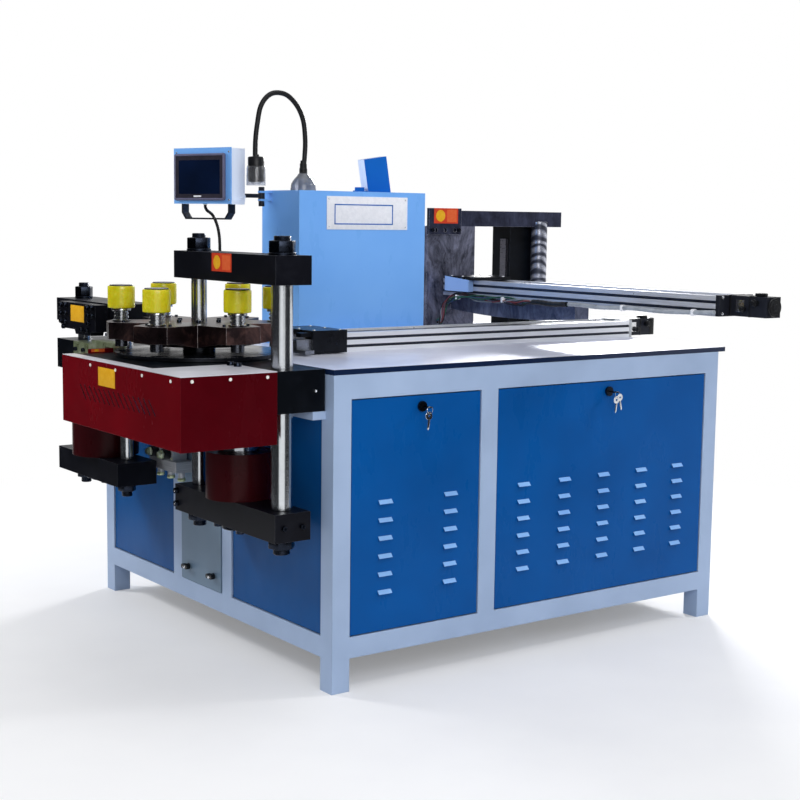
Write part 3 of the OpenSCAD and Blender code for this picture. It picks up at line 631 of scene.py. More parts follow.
# ---- finishes of the CAD's own nodes ----
EACH = range(1, 7)
CAD_FINISHES = [
    (FRAME_PAINT, ["frame"]), (TABLE_STEEL, ["table_top"]), (SHROUD_RED, ["shroud"]),
    (DECK_STEEL, ["deck"]), (WHEEL_STEEL, ["turret_wheel"]), (DIE_STEEL, ["die_wheel"]),
    (NECK_STEEL, ["punch_guides"]), (PILLAR_STEEL, ["pillars_a", "pillars_b"]),
    (HEAD_BLACK, ["crosshead_upper_a", "crosshead_lower_a", "crosshead_upper_b", "crosshead_lower_b",
                  "tool_holder_b"]),
    (BED_BLACK, ["bed_a", "bed_b", "bend_die"]), (CYLINDER_RED, ["cylinder_a", "cylinder_b"]),
    (ROD_CHROME, ["pistons"]), (CHROME, ["bend_ram"]), (ZINC, ["lower_tools_b"]),
    (DOOR_BLUE, ["door_left", "door_right"]), (NUT_BLACK, ["lock_left", "lock_right"]),
    (COVER_GREY, ["end_cover"]), (PLASTIC_BLACK, ["cover_knob_1", "cover_knob_2", "lamp"]),
    (PANEL_BLUE, ["panels"]), (CABINET_BLUE, ["control_cabinet", "hmi_case"]),
    (BLACK_PAINT, ["hmi_arm", "servo_motors"]), (BEZEL_GREY, ["hmi_screen"]), (RUBBER_BLACK, ["hmi_cable"]),
    (BOX_BLUE, ["rear_box"]), (RAIL_ALUMINIUM, ["rail_a"]), (RAIL_ALUMINIUM_B, ["rail_b"]),
    (SADDLE_BLACK, ["carriage_a", "carriage_b"]), (JAW_STEEL, ["clamp_jaw"]),
    (WIRE_COLOURS[0], ["wires_b"]), (BEND_STEEL, ["bend_frame"]), (TANK_PAINT, ["hydraulic_tank"]),
    (MOTOR_GREY, ["pump_motor"]), (VALVE_ALUMINIUM, ["valve_block"]),
    (PUNCH_STEEL, [f"punch_{k}" for k in EACH]), (URETHANE, [f"spring_{k}" for k in EACH]),
]
PANEL_CORNER = (113, 720, 1269)
PANEL_TURN = math.radians(16)
CABLE_GLAND = (98.8, 851.2)
BEND_COLUMN = (1396, 810)


def panel_depth(x, y):
    """How far a place is behind the front plane of the operator panel's case."""
    return (x - PANEL_CORNER[0]) * math.cos(PANEL_TURN) + (y - PANEL_CORNER[1]) * math.sin(PANEL_TURN)


# Where the middle of a face passes the test, the face gets the other finish; later tests win.
REGIONS = {
    # The case's sides, top and back take the near-white blue as painted light.
    "hmi_case": [(lambda x, y, z: panel_depth(x, y) > 3.2, PAINTED_LIGHT_BLUE),
                 (lambda x, y, z: z < 1276.8 and math.dist((x, y), CABLE_GLAND) < 7.5, PLASTIC_BLACK)],
    # The rear box's left face takes the near-white blue as painted light.
    "rear_box": [(lambda x, y, z: x < 570 and z > 1340, PAINTED_LIGHT_BLUE)],
    "bend_frame": [(lambda x, y, z: z > 1209 and x > 1032, BEAM_STEEL),
                   (lambda x, y, z: y < 799, BEAM_STEEL),
                   (lambda x, y, z: y < 799 and z < 1100, ARM_STEEL),
                   (lambda x, y, z: math.dist((x, y), BEND_COLUMN) < 28.6 and 871 < z < 1229, COLUMN_STEEL)],
    "carriage_b": [(lambda x, y, z: x < 962 and z < 1037.8, BLOCK_BLUE)],
    "bend_die": [(lambda x, y, z: x < 1282.9, BAR_STEEL)],
    "servo_motors": [(lambda x, y, z: x < 1467.1 and y > 0, VALVE_ALUMINIUM)],
    # The shroud's front faces take the darker red as painted shade.
    "shroud": [(lambda x, y, z: y < 25.2, SHROUD_SHADE),
               (lambda x, y, z: -420.8 < x < -418.2 and 600 < z < 790, BLACK_PAINT)],
    # The slot faces of both rails take the dark tone as painted shade.
    "rail_a": [(lambda x, y, z: 415.3 < y < 424 and z < 897, GROOVE_SHADE)],
    "rail_b": [(lambda x, y, z: 960.3 < x < 969 and z < 1030, GROOVE_SHADE)],
}


def finish_node(name, finish):
    """Gives a CAD node its finish, and its regions the other ones."""
    mesh = nodes[name].data
    mesh.materials.clear()
    mesh.materials.append(finish)
    for number, (inside, other) in enumerate(REGIONS.get(name, ()), 1):
        mesh.materials.append(other)
        for polygon in mesh.polygons:
            if inside(*from_corner(polygon.center)):
                polygon.material_index = number


for node_finish, node_names in CAD_FINISHES:
    for node_name in node_names:
        finish_node(node_name, node_finish)

# The upper faces of the doors' louvres get a paler blue: a painted highlight where the louvre tops catch the
# light.
LOUVRES_TOP = 600
DOOR_FRONT = 1.9
for door in ("door_left", "door_right"):
    nodes[door].data.materials.append(LOUVRE_HIGHLIGHT_BLUE)
    for face in nodes[door].data.polygons:
        face_y, face_z = from_corner(face.center)[1:]
        if face.normal.z > 0.4 and face_y < DOOR_FRONT and face_z < LOUVRES_TOP:
            face.material_index = 1


# ---- press pillars ----
THREAD_STEP = 1.5
THREAD_DEPTH = 0.9


def pillar_parts(shafts, nuts, spot, d, d_end, low, high, nut):
    """The pillar with threaded ends through the two heads, and its washer and nuts."""
    r, end = d / 2, d_end / 2
    hole = end + 0.4
    foot, top = low[0] - 20, high[1] + 30
    base = (*spot, 0)

    def thread(z0, z1):
        count = int((z1 - z0) / THREAD_STEP) + 1
        return [(z0 + k * THREAD_STEP, end - (THREAD_DEPTH if k % 2 else 0)) for k in range(count)]

    shaft = [(foot, 0), (foot, end), (low[0], end), (low[1], end), (low[1], r - 1.5), (low[1] + 1.5, r),
             (high[0] - 1.5, r), (high[0], r - 1.5), (high[0], end), (top, end), (top, 0)]
    lower_end = [(foot - 22, 0), (foot - 22, end - 2), *thread(foot - 20, foot - 6), (foot, end), (foot, 0)]
    upper_end = [(top, 0), (top, end), (top + 4, end), *thread(top + 6, top + 16), (top + 18, end - 2),
                 (top + 18, 0)]
    washer = [(0, hole), (0, nut * 0.575), (5, nut * 0.575), (6, nut * 0.56), (6, hole)]
    upper_face = [(0, nut * 0.44), (0.7, nut * 0.42), (0.7, hole)]
    lower_face = [(0, hole), (0, nut * 0.42), (0.6, nut * 0.44), (0.6, hole)]
    shafts.turned(base, UP, shaft, 72)
    nuts.turned(base, UP, lower_end, 72)
    nuts.turned(base, UP, upper_end, 72)
    nuts.turned((*spot, high[1]), UP, washer, hollow=True)
    nuts.hexagon((*spot, high[1] + 6), UP, nut, 30, 2.4)
    nuts.turned((*spot, high[1] + 35.9), UP, upper_face, 40, True)
    nuts.hexagon((*spot, low[0] - 26), UP, nut, 26, 2.4)
    nuts.turned((*spot, low[0] - 26.6), UP, lower_face, 40, True)


def pillars(name, body, spots):
    shafts, nuts = Solids(), Solids()
    for spot in spots:
        pillar_parts(shafts, nuts, *spot)
    made = shafts.piece(f"{name}_shafts", PILLAR_STEEL, body, "bright_steel")
    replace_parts(made, name)
    nuts.piece(f"{name}_nuts", NUT_BLACK, body, "black_steel")


pillars("pillars_a", "press_a", [((PRESS_X, PILLAR_NEAR), 56, 44, HEAD_LOW, HEAD_UP, 62),
                                 ((PRESS_X, PILLAR_FAR), 43, 38, HEAD_LOW, HEAD_UP, 58)])
pillars("pillars_b", "press_b", [((PRESS_B_X, y), 40, 32, HEAD_B_LOW, HEAD_B_UP, 48) for y in PILLARS_B])

# ---- turret ----
WHEEL_TOP = 942.8
SET_SCREWS_ASIDE = 36
SET_SCREWS_INWARD = 8
HUB_SCREWS_R = 62
# profiles of turned parts: heights and radii
NECK = [(0, 13.1), (0, 24), (1, 24.6), (4, 24.6), (5, 23.5), (5, 17.5), (8.5, 17.5), (9, 20), (14, 20),
        (14.6, 19), (14.6, 16.4), (18, 16.4), (18.6, 19.4), (24, 19.4), (24.6, 18), (24.6, 17),
        (28, 17), (29, 25), (30, 26), (36, 26), (37, 25.4), (37, 13.1)]
RIM = [(0, 31), (0.3, 31.7), (2.3, 31.7), (3.1, 30.6), (3.1, 26), (0.1, 26)]


def punch_necks():
    """Guide bushes with their flange, grooves and spring seat."""
    necks = Solids()
    for x, y in STATIONS:
        necks.turned((x, y, 943), UP, NECK, hollow=True)
    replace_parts(necks.piece("punch_necks", NECK_STEEL, "turret", "bright_steel"), "punch_guides")


def wheel_screws():
    """Two set screws beside every punch, and the screws that join the wheel to its hub."""
    heads = Solids()
    for angle, (x, y) in zip(STATION_ANGLES, STATIONS):
        out = Vector((math.cos(angle), math.sin(angle)))
        for side in (-SET_SCREWS_ASIDE, SET_SCREWS_ASIDE):
            spot = Vector((x, y)) + side * Vector((-out.y, out.x)) - SET_SCREWS_INWARD * out
            heads.cap_screw((*spot, WHEEL_TOP), UP, 9)
    for angle in on_circle(6):
        x, y = PRESS_X + HUB_SCREWS_R * math.cos(angle), PILLAR_FAR + HUB_SCREWS_R * math.sin(angle)
        heads.cap_screw((x, y, WHEEL_TOP), UP, 13)
    heads.piece("wheel_screws", NUT_BLACK, "turret", "die_steel")


def cap_rims():
    """Bright rim round the flat cap of every punch."""
    for k, (x, y) in enumerate(STATIONS, 1):
        rim = Solids()
        rim.turned((x, y, 1040.1), UP, RIM, 56, True)
        rim.turned((x, y, 1042.9), UP, [(0, 3), (0, 8), (0.25, 7.5), (0.25, 3.5)], 32, True)
        rim.piece(f"punch_{k}_rim", PUNCH_STEEL, f"punch_{k}", "die_steel")


punch_necks()
wheel_screws()
cap_rims()


# ---- colour fields ----
def notice(name, body, corner, along, tall, out):
    """A plain red and orange plate with a yellow disc: corner is its lower end at the disc."""
    start, across, rise = Vector(corner), Vector(along), Vector(tall)

    def field(part, finish, a0, a1, b0, b1, depth):
        """A field between shares of the plate's length and height."""
        shape = Solids()
        outline = [start + across * a + rise * b for a, b in ((a0, b0), (a1, b0), (a1, b1), (a0, b1))]
        shape.prism(outline, Vector(out) * depth)
        shape.piece(f"{name}_{part}", finish, body, "red_paint")

    field("plate", LABEL_RED, 0, 1, 0, 1, 0.6)
    field("panel", LABEL_ORANGE, 0.54, 0.94, 0.1, 0.9, 0.8)
    r = rise.length * 0.38
    profile = [(0, 0), (0, r), (0.9, r), (0.9, r * 0.8), (0.75, r * 0.8), (0.75, r * 0.45), (0.9, r * 0.45),
               (0.9, 0)]
    middle = start + across * 0.27 + rise * 0.5
    turned_piece(f"{name}_disc", LABEL_YELLOW, body, "red_paint", middle, out, profile, 40)


def nameplate():
    """Blank white plate with a thin blue frame on the control cabinet."""
    front = 600
    face = front - 1.5
    plate("nameplate", PLATE_WHITE, "machine", (369, face, 1198), (666, front, 1297), "cabinet_blue", 0.5)
    border = Solids()
    x0, x1, z0, z1, line = 396, 611, 1213, 1274, 3.6
    for xa, xb, za, zb in ((x0, x1, z0, z0 + line), (x0, x1, z1 - line, z1),
                           (x0, x0 + line, z0, z1), (x1 - line, x1, z0, z1)):
        border.box((xa, front - 1.9, za), (xb, front - 1.4, zb))
    border.piece("nameplate_frame", FIELD_BLUE, "machine", "cabinet_blue")
    screws("nameplate_rivets", CHROME, "machine", "bright_steel", "dome", 5, FRONT,
           [(x, face, z) for x in (377, 658) for z in (1206, 1289)])


notice("head_notice", "press_a", (-151, 359, 1089), (0, -104, 0), (0, 0, 48), LEFT)
notice("bracket_notice", "machine", (915, 788, 1219), (100, 0, 0), (0, 0, 50), FRONT)
plate("shroud_label", LABEL_YELLOW, "machine", (-421.6, 384, 788), (-421, 484, 837), "red_paint", 0.1)
plate("holder_label", LABEL_YELLOW, "press_b", (-250.6, 952, 917), (-250, 1046, 965), "black_steel", 0.1)
plate("tab_field", LABEL_ORANGE, "machine", (-336, 713.4, 852.5), (-296, 714, 861), "red_paint")
plate("tab_field_2", LABEL_YELLOW, "machine", (-326, 713.1, 854), (-314, 713.5, 860), "red_paint")
nameplate()

# ---- screws ----
HOLDER_SCREWS = [(1112, 962), (1080, 964), (1114, 938), (1078, 940), (1110, 914), (1080, 914), (1092, 898),
                 (924, 962), (893, 964), (918, 940), (890, 940), (917, 918), (965, 896), (926, 896)]
screws("shroud_screws_left", SCREW_WHITE, "machine", "red_paint", "dome", 9, LEFT,
       [(-421, y, 837) for y in (533, 380, 228, 75)])
screws("shroud_screws_front", SCREW_WHITE, "machine", "red_paint", "dome", 9, FRONT,
       [(x, 25, 839) for x in (-390, -285, -180)])
screws("holder_screws", NUT_BLACK, "press_b", "black_steel", "cap", 15, LEFT,
       [(-250, y, z) for y, z in HOLDER_SCREWS])
screws("bed_front_screws", CHROME, "machine", "black_steel", "cap", 9, FRONT,
       [(x, 35, 796) for x in (-34, -162)])
screws("bed_side_screws", NUT_BLACK, "machine", "black_steel", "cap", 20, UP,
       [(x, y, 849.6) for x in (-24, -176) for y in (180, 216)])
screws("tool_screws", NUT_BLACK, "machine", "plated_green", "cap", 13, LEFT,
       [(-250, y, 836) for y in (955, 1010, 838, 900)])
screws("saddle_a_screws", CHROME, "feed_a", "bright_steel", "dome", 9, UP,
       [(x, y, 917.2) for x in (192, 279) for y in (390, 470, 546)])
screws("saddle_b_screws", CHROME, "feed_b", "bright_steel", "dome", 10, UP,
       [(x, y, 1048.2) for x in (954, 1076) for y in (622, 680, 738)])
screws("head_side_screws", NUT_BLACK, "press_a", "black_steel", "cap", 14, FRONT,
       [(x, 36, 449) for x in (-125, -71)])
screws("head_lower_bolts", NUT_BLACK, "press_a", "black_steel", "cap", 24, DOWN,
       [(x, y, HEAD_LOW[0]) for x in (-128, -68) for y in (250, 370)])
screws("head_lower_bolts_b", NUT_BLACK, "press_b", "black_steel", "cap", 22, DOWN,
       [(x, y, HEAD_B_LOW[0]) for x in (-175, -119) for y in (985, 1085)])
screws("cover_screws", CHROME, "machine", "cover_grey", "dome", 8, LEFT,
       [(-3, y, 752) for y in (600, 798)])
screws("bend_bracket_screws", NUT_BLACK, "machine", "bend_steel", "cap", 12, FRONT,
       [(x, 788, 1197) for x in (907, 1019)])

# ---- springs ----
SPRING = [(0, 13.6), (0, 34.6), (0.8, 36), (2.6, 36.8), (10, 36.95), (30, 37), (50, 36.95), (57.4, 36.8),
          (59.2, 36), (60, 34.6), (60, 13.6)]
SPRING_FOOT = 980


def springs():
    """Urethane springs under the punch caps, each on a mesh of its own."""
    for k, (x, y) in enumerate(STATIONS, 1):
        foot = (x, y, SPRING_FOOT)
        made = turned_piece(f"spring_{k}_urethane", URETHANE, "turret", "urethane",
                            foot, UP, SPRING, 72, True)
        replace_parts(made, f"spring_{k}")
        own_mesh(made)


springs()

# ---- operator panel ----
PANEL_LOW, PANEL_HIGH = (22, 10), (233, 148)
PANEL_RADIUS = 7
# sections of the frames: insets from the panel's outline and depths
BEZEL = [(0, -0.2), (0, -5.2), (0.7, -6.8), (2.2, -7.8), (3, -8), (5.4, -8), (6.4, -7.2), (7, -6.2),
         (7, -0.2)]
BORDER = [(7.1, -0.3), (7.1, -6), (19, -5.6), (19, -0.3)]


def on_panel(x, y, z):
    """A place measured from the panel's lower front corner, along its own edges."""
    return (PANEL_CORNER[0] + x * math.cos(PANEL_TURN) - y * math.sin(PANEL_TURN),
            PANEL_CORNER[1] + x * math.sin(PANEL_TURN) + y * math.cos(PANEL_TURN), PANEL_CORNER[2] + z)


def panel_loop(inset, depth):
    """The panel's outline with round corners, drawn in by an inset."""
    loop = []
    r = max(PANEL_RADIUS - inset, 0.6)
    in_by = inset + r
    for quarter, (right, above) in enumerate(((1, 1), (0, 1), (0, 0), (1, 0))):
        y = PANEL_HIGH[0] - in_by if right else PANEL_LOW[0] + in_by
        z = PANEL_HIGH[1] - in_by if above else PANEL_LOW[1] + in_by
        for step in range(6):
            a = math.radians(90 * quarter + 18 * step)
            loop.append(on_panel(depth, y + r * math.cos(a), z + r * math.sin(a)))
    return loop


def panel_frame(name, finish, profile, lid=False):
    """A frame whose section is pairs of inset and depth, swept round the panel's outline."""
    part = bmesh.new()
    rings = [[part.verts.new(at(*p)) for p in panel_loop(inset, depth)] for inset, depth in profile]
    skin(part, rings if lid else rings + rings[:1])
    if lid:
        part.faces.new(rings[0])
        part.faces.new(rings[-1])
    shape = Solids()
    shape.take(part)
    return shape.piece(name, finish, "hmi", "screen_plastic")


def operator_panel():
    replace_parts(panel_frame("hmi_bezel", BEZEL_GREY, BEZEL), "hmi_screen")
    panel_frame("hmi_border", BORDER_BROWN, BORDER)
    panel_frame("hmi_glass", SCREEN_GLASS, [(19.1, -0.4), (19.1, -5.4)], True)
    ahead = Vector(on_panel(-1, 0, 0)) - Vector(on_panel(0, 0, 0))
    blank = Solids()
    outline = [on_panel(-6.2, y, z) for y, z in ((118, 20), (150, 20), (150, 24.6), (118, 24.6))]
    blank.prism(outline, ahead * -0.4)
    blank.piece("hmi_blank_plate", PLATE_WHITE, "hmi", "screen_plastic")
    screws("hmi_flange_screws", CHROME, "hmi", "bright_steel", "dome", 6, ahead,
           [on_panel(0, y, z) for y in (9, 228) for z in (12, 152)])


operator_panel()

# ---- lamp ----
CABINET_TOP = 1312
LAMP_FOOT = (318, 650)
LAMP_HEAD = (156, 650)
# places sideways from the foot, and heights
GOOSENECK = [(0, 1366), (5, 1419), (6, 1463), (-1, 1516), (-22, 1557), (-56, 1586), (-94, 1592), (-124, 1580),
             (-147, 1549), (-158, 1500), (-164, 1452), (-165, 1402)]
FOOT = [(0, 0), (0, 38), (5, 38), (8, 37), (14, 37), (20, 35.5), (28, 31), (36, 25), (42, 19), (48, 15.5),
        (50, 13), (50, 0)]
STEM = [(0, 0), (0, 14), (18, 14), (20, 12), (34, 12), (36, 10.5), (48, 10.5), (50, 9), (58, 8.4), (58, 0)]
HOLDER = [(0, 0), (0, 22), (3, 24), (34, 24.4), (43, 24), (43, 24.8), (46, 24.8), (47, 24), (69, 24),
          (72, 22), (73, 17), (74, 9), (79, 8.6), (79, 0)]
SHADE = [(0, 26.4), (0, 28.2), (3, 28.5), (6, 28.1), (48, 27.4), (54, 26.2), (55, 25.8), (55, 25.0),
         (52, 25.0), (47, 25.8), (6, 26.3)]
LENS = [(0, 0), (0.6, 10), (3, 17), (6.8, 18.6), (7.2, 0)]


def lamp():
    """Gooseneck lamp: smoky foot, ribbed neck, black holder in a clear shade."""
    def part(name, finish, *shape):
        turned_piece(name, finish, "machine", "lamp_black", *shape)

    part("lamp_foot", SMOKY, (*LAMP_FOOT, CABINET_TOP), UP, FOOT, 64)
    stem = Solids()
    stem.turned((*LAMP_FOOT, CABINET_TOP + 30), UP, STEM)
    path = curve([(LAMP_FOOT[0] + x, LAMP_FOOT[1], z) for x, z in GOOSENECK], 22)
    stem.tube(path, 14.6, 16, lambda i: 1.03 if i % 2 else 0.97)
    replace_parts(stem.piece("lamp_neck", RUBBER_BLACK, "machine", "lamp_black"), "lamp")
    part("lamp_holder", PLASTIC_BLACK, (*LAMP_HEAD, 1333), UP, HOLDER, 56)
    part("lamp_shade", SHADE_CLEAR, (*LAMP_HEAD, 1323), UP, SHADE, 64, True)
    part("lamp_lens", PLATE_WHITE, (*LAMP_HEAD, 1326), UP, LENS, 40)


lamp()

# ---- operator panel's cable ----
# places from the panel's gland to the cabinet
CABLE = [(99, 851, 1266.6), (99, 850.5, 1260), (99.3, 846, 1253.5), (99.5, 837, 1248), (99, 821, 1243),
         (97.5, 802, 1235), (98, 787, 1220), (101, 778, 1199), (103, 773, 1174), (104, 772, 1150),
         (105, 771, 1128), (114, 764, 1107), (136, 750, 1093), (172, 728, 1089), (220, 704, 1100),
         (257, 688, 1111), (272.5, 686, 1112)]
CABLE_WIDTH = 9


def panel_cable():
    path = curve(CABLE, 16)
    shape = Solids()
    shape.tube(path, CABLE_WIDTH, 14, lambda i: 1.03 if i % 4 < 2 else 0.96)
    cable = shape.piece("panel_cable", RUBBER_BLACK, None, "cable_rubber")
    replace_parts(cable, "hmi_cable")
    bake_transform(cable)
    turned_piece("cable_grommet_cabinet", PLASTIC_BLACK, "machine", "cable_rubber", (272.9, 686, 1112), LEFT,
                 [(0, 4.8), (0, 11), (2, 11), (3.4, 9), (3.4, 4.8)], 32, True)
    nut = Solids()
    nut.hexagon((*CABLE_GLAND, 1276.6), DOWN, 17, 4, 0.6)
    nut.piece("cable_gland_nut", PLASTIC_BLACK, "hmi", "cable_rubber")


panel_cable()

# ---- wires along the bending rail ----
# places from the bending press's bracket to the motor
WIRES = [(944, 799.7, 896), (944, 793, 896), (944, 786, 896), (945, 774, 914), (946, 758, 954),
         (948, 709, 981), (950, 635, 984), (951, 549, 980), (951, 470, 983), (950, 388, 979),
         (950, 310, 984), (951, 240, 981), (950, 140, 986), (951, 32, 983), (950, -90, 988),
         (951, -207, 986), (950, -330, 990), (952, -404, 994)]
# every strand's colour, by its place in WIRE_COLOURS, and its width
STRANDS = [(0, 4.6), (1, 4.4), (2, 5.2), (0, 4.0), (3, 3.6), (1, 3.6), (2, 4.4), (4, 3.8)]
STRANDS_END = at(0, 150, 0).y
TAPE_START, TAPE_END = at(0, 175, 0).y, at(0, 330, 0).y
WIRE_CLIPS = [(-330, 990), (-60, 987), (470, 983), (700, 981)]


def strand(path, number, rng):
    """The path of one wire that winds loosely in the bundle."""
    phase = 2 * math.pi * number / len(STRANDS)
    twist = rng.uniform(0.05, 0.12)
    reach = rng.uniform(5.0, 6.8)
    line = []
    for i, p in enumerate(path[:-1]):
        ahead = (path[i + 1] - path[max(i - 1, 0)]).normalized()
        side = ahead.cross(Vector(UP)).normalized()
        above = side.cross(ahead)
        a = phase + twist * i + 0.5 * math.sin(i * 0.21 + number)
        loose = min(1.0, 0.4 + i / 20, 0.45 + max(0.0, p.y - TAPE_END) / 0.08)
        r = mm(reach * loose * (0.85 + 0.15 * math.sin(i * 0.33 + 2 * number)))
        line.append(p + r * (math.cos(a) * side + (0.4 + 1.3 * loose) * math.sin(a) * above))
    return line


def wire_bundle():
    """Loose coloured wires, then tape, then a pale wrap towards the motor."""
    def tube(name, finish, *shape):
        part = Solids()
        part.tube(*shape)
        return part.piece(name, finish, "machine", "wire_jackets")

    rng = random.Random(11)
    path = curve(WIRES, 12)
    end = [i for i, p in enumerate(path) if p.y < STRANDS_END][0]
    wires = [tube(f"wire_{number + 1}", WIRE_COLOURS[tone], strand(path[:end + 1], number, rng), width, 8)
             for number, (tone, width) in enumerate(STRANDS)]
    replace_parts(wires[0], "wires_b")
    taped = [p for p in path if TAPE_START < p.y < TAPE_END]
    tube("wire_tape", PLASTIC_BLACK, taped, 15.6, 16, lambda i: 1.0 + 0.05 * math.sin(i * 1.9))
    tube("wire_wrap", PALE_WRAP, path[end - 2:], 12.6, 14, lambda i: 1.0 if i % 2 else 0.93)
    clips = Solids()
    for y, z in WIRE_CLIPS:
        clips.box((942.6, y - 5, z - 9), (959.9, y + 5, z + 9), 3)
    clips.piece("wire_clips", PLATE_WHITE, "machine", "wire_jackets")


wire_bundle()

# ---- servo motors ----
MOTOR_MIDDLE = 67.5
MOTOR_AXIS = 29.5
MOTOR_SIDE = MOTOR_MIDDLE - 27.5
END_CAP = [(0, 0), (0, 25), (6, 25), (8, 24), (8, 20), (9.5, 19), (9.5, 9), (11, 8), (11, 0)]
POWER_PLUG = [(0, 0), (0, 8.5), (7, 8.5), (8, 10), (13, 10), (14, 7), (18, 6), (18, 0)]
ENCODER_PLUG = [(0, 0), (0, 7), (6, 7), (7, 8.6), (11, 8.6), (12, 6), (15, 5), (15, 0)]


def motor_details(name, corner, ahead, across, body, round_end):
    """End bell, flange and connectors round one motor; corner is the rail's end, lowest place."""
    def place(along, over, up):
        return Vector(corner) + Vector(ahead) * along + Vector(across) * over + Vector((0, 0, up))

    def block(part, start, end, right, left, low, high, edge):
        """A block from start to end along the motor, and from right to left of its middle."""
        p, q = place(start, MOTOR_MIDDLE + right, low), place(end, MOTOR_MIDDLE + left, high)
        part.box([min(a, b) for a, b in zip(p, q)], [max(a, b) for a, b in zip(p, q)], edge)

    shell, trim = Solids(), Solids()
    end = 12 + body
    block(shell, 12, 20, -29, 29, 1.2, 58.6, 2.5)
    block(shell, body * 0.62, body * 0.66, -28.6, 28.6, 1.2, 58.4, 1.2)
    if round_end:
        shell.turned(place(end - 2, MOTOR_MIDDLE, MOTOR_AXIS), ahead, END_CAP)
    else:
        block(shell, end - 24, end + 1, -28.4, 28.4, 1.4, 58.4, 3)
    block(shell, body * 0.72, body * 0.92, -20, 4, 57, 66, 2.5)
    outward = -Vector(across)
    shell.turned(place(body * 0.82, MOTOR_SIDE, 40), outward, POWER_PLUG, 28)
    shell.turned(place(body * 0.5, MOTOR_SIDE, 22), outward, ENCODER_PLUG, 28)
    shell.piece(f"{name}_shell", PLASTIC_BLACK, "machine", "motor_black")
    for dy in (-23, 23):
        for dz in (-23, 23):
            trim.cap_screw(place(20, MOTOR_MIDDLE + dy, MOTOR_AXIS + dz), ahead, 7)
            trim.cap_screw(place(11.8, MOTOR_MIDDLE + dy * 2.4, MOTOR_AXIS + dz * 0.95), ahead, 8)
    block(trim, body * 0.28, body * 0.5, -28.1, -27.3, 14, 46, 0)
    trim.piece(f"{name}_trim", CHROME, "machine", "motor_black")


motor_details("motor_a", (1455, 415, 850), (1, 0, 0), (0, 1, 0), 145, False)
motor_details("motor_b", (960, -400, 983), (0, -1, 0), (1, 0, 0), 128, True)

# ---- locks, keys and knobs ----
KEY_BOW = [(0, 3), (0, 10.5), (0.4, 11), (1.4, 11), (1.8, 10.5), (1.8, 3)]
LOCK_BARREL = [(0, 0), (0, 14), (1.6, 14), (3.4, 12.4), (3.8, 11), (2.6, 10.4), (2.6, 0)]
LOCKED_KEY_BOW = [(0, 3), (0, 11.5), (0.4, 12), (1.6, 12), (2, 11.5), (2, 3)]
LOCK_FACE = [(0, 0), (0, 10.3), (0.9, 10.3), (1.2, 9.6), (1.2, 0)]


def key(part, top, tilt):
    """A flat key that hangs from top: bow and blade, tilt millimetres sideways."""
    x, y, z = top
    part.turned((x, y + 0.9, z - 9), FRONT, KEY_BOW, 28, True)
    blade = [(-3.4, -19), (3.4, -19), (3.2 + tilt, -43), (tilt, -47), (-3 + tilt, -43)]
    part.prism([(x + dx, y + 0.8, z + dz) for dx, dz in blade], (0, -1.7, 0), 0.3)


def lock_pieces(name, x, loose_key):
    """The lock's barrel with a key in it, and more keys on a ring."""
    y, z = 2, 740
    metal = Solids()
    metal.turned((x, y - 0.3, z), FRONT, LOCK_BARREL)
    metal.box((x - 4, y - 22, z - 1), (x + 4, y - 2, z + 1), 0.3)
    metal.turned((x, y - 30, z - 1), UP, LOCKED_KEY_BOW, 36, True)
    angles = on_circle(24)
    metal.tube([at(x + 9 * math.sin(a), y - 37 + 0.6 * math.cos(a), z - 7 + 9 * math.cos(a))
                for a in angles + angles[:1]], 1.4, 8)
    key(metal, (x - 3, y - 37, z - 13), -3)
    if loose_key:
        key(metal, (x + 9, y - 38.5, z - 6), 6)
    metal.piece(f"{name}_keys", CHROME, name, "lock_metal")
    turned_piece(f"{name}_face", PLASTIC_BLACK, name, "lock_metal", (x, y - 2.7, z), FRONT, LOCK_FACE, 40)


lock_pieces("lock_left", 281, False)
lock_pieces("lock_right", 965, True)
for knob, knob_y in (("cover_knob_1", 621), ("cover_knob_2", 772)):
    knob_front = from_corner(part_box(knob)[0])[0]
    screws(f"{knob}_centre", CHROME, knob, "knob_black", "dome", 11, LEFT, [(knob_front + 0.2, knob_y, 190)])

# ---- valves ----
VALVE_Z = 532
VALVE_END = [(0, 0), (0, 9), (6, 9), (7, 7.5), (7, 0)]
VALVE_CAP = [(0, 0), (0, 13), (10, 13), (12, 11), (12, 0)]
VALVE_COIL = [(0, 0), (0, 15.6), (3, 16.2), (18, 16.2), (21, 15.6), (21, 0)]


def valve_fittings():
    """Hexagon couplings and solenoid ends on the two valves beside the press."""
    metal, dark = Solids(), Solids()
    for y in (794, 870):
        metal.hexagon((-78, y, VALVE_Z), LEFT, 24, 9, 1.2)
        metal.turned((-87, y, VALVE_Z), LEFT, VALVE_END, 28)
        metal.turned((-33, y, 556), UP, VALVE_CAP, 32)
        dark.turned((-78.2, y, VALVE_Z), (1, 0, 0), VALVE_COIL, 40)
        for dy in (-19, 19):
            for z in (519, 548):
                metal.cap_screw((-56, y + dy, z), LEFT, 7)
    for y in (762, 828, 894):
        metal.hexagon((-32, y, 462), DOWN, 22, 10, 1.2)
    metal.piece("valve_fittings", ZINC, "machine", "valve_metal")
    dark.piece("valve_coils", PLASTIC_BLACK, "machine", "valve_metal")


valve_fittings()

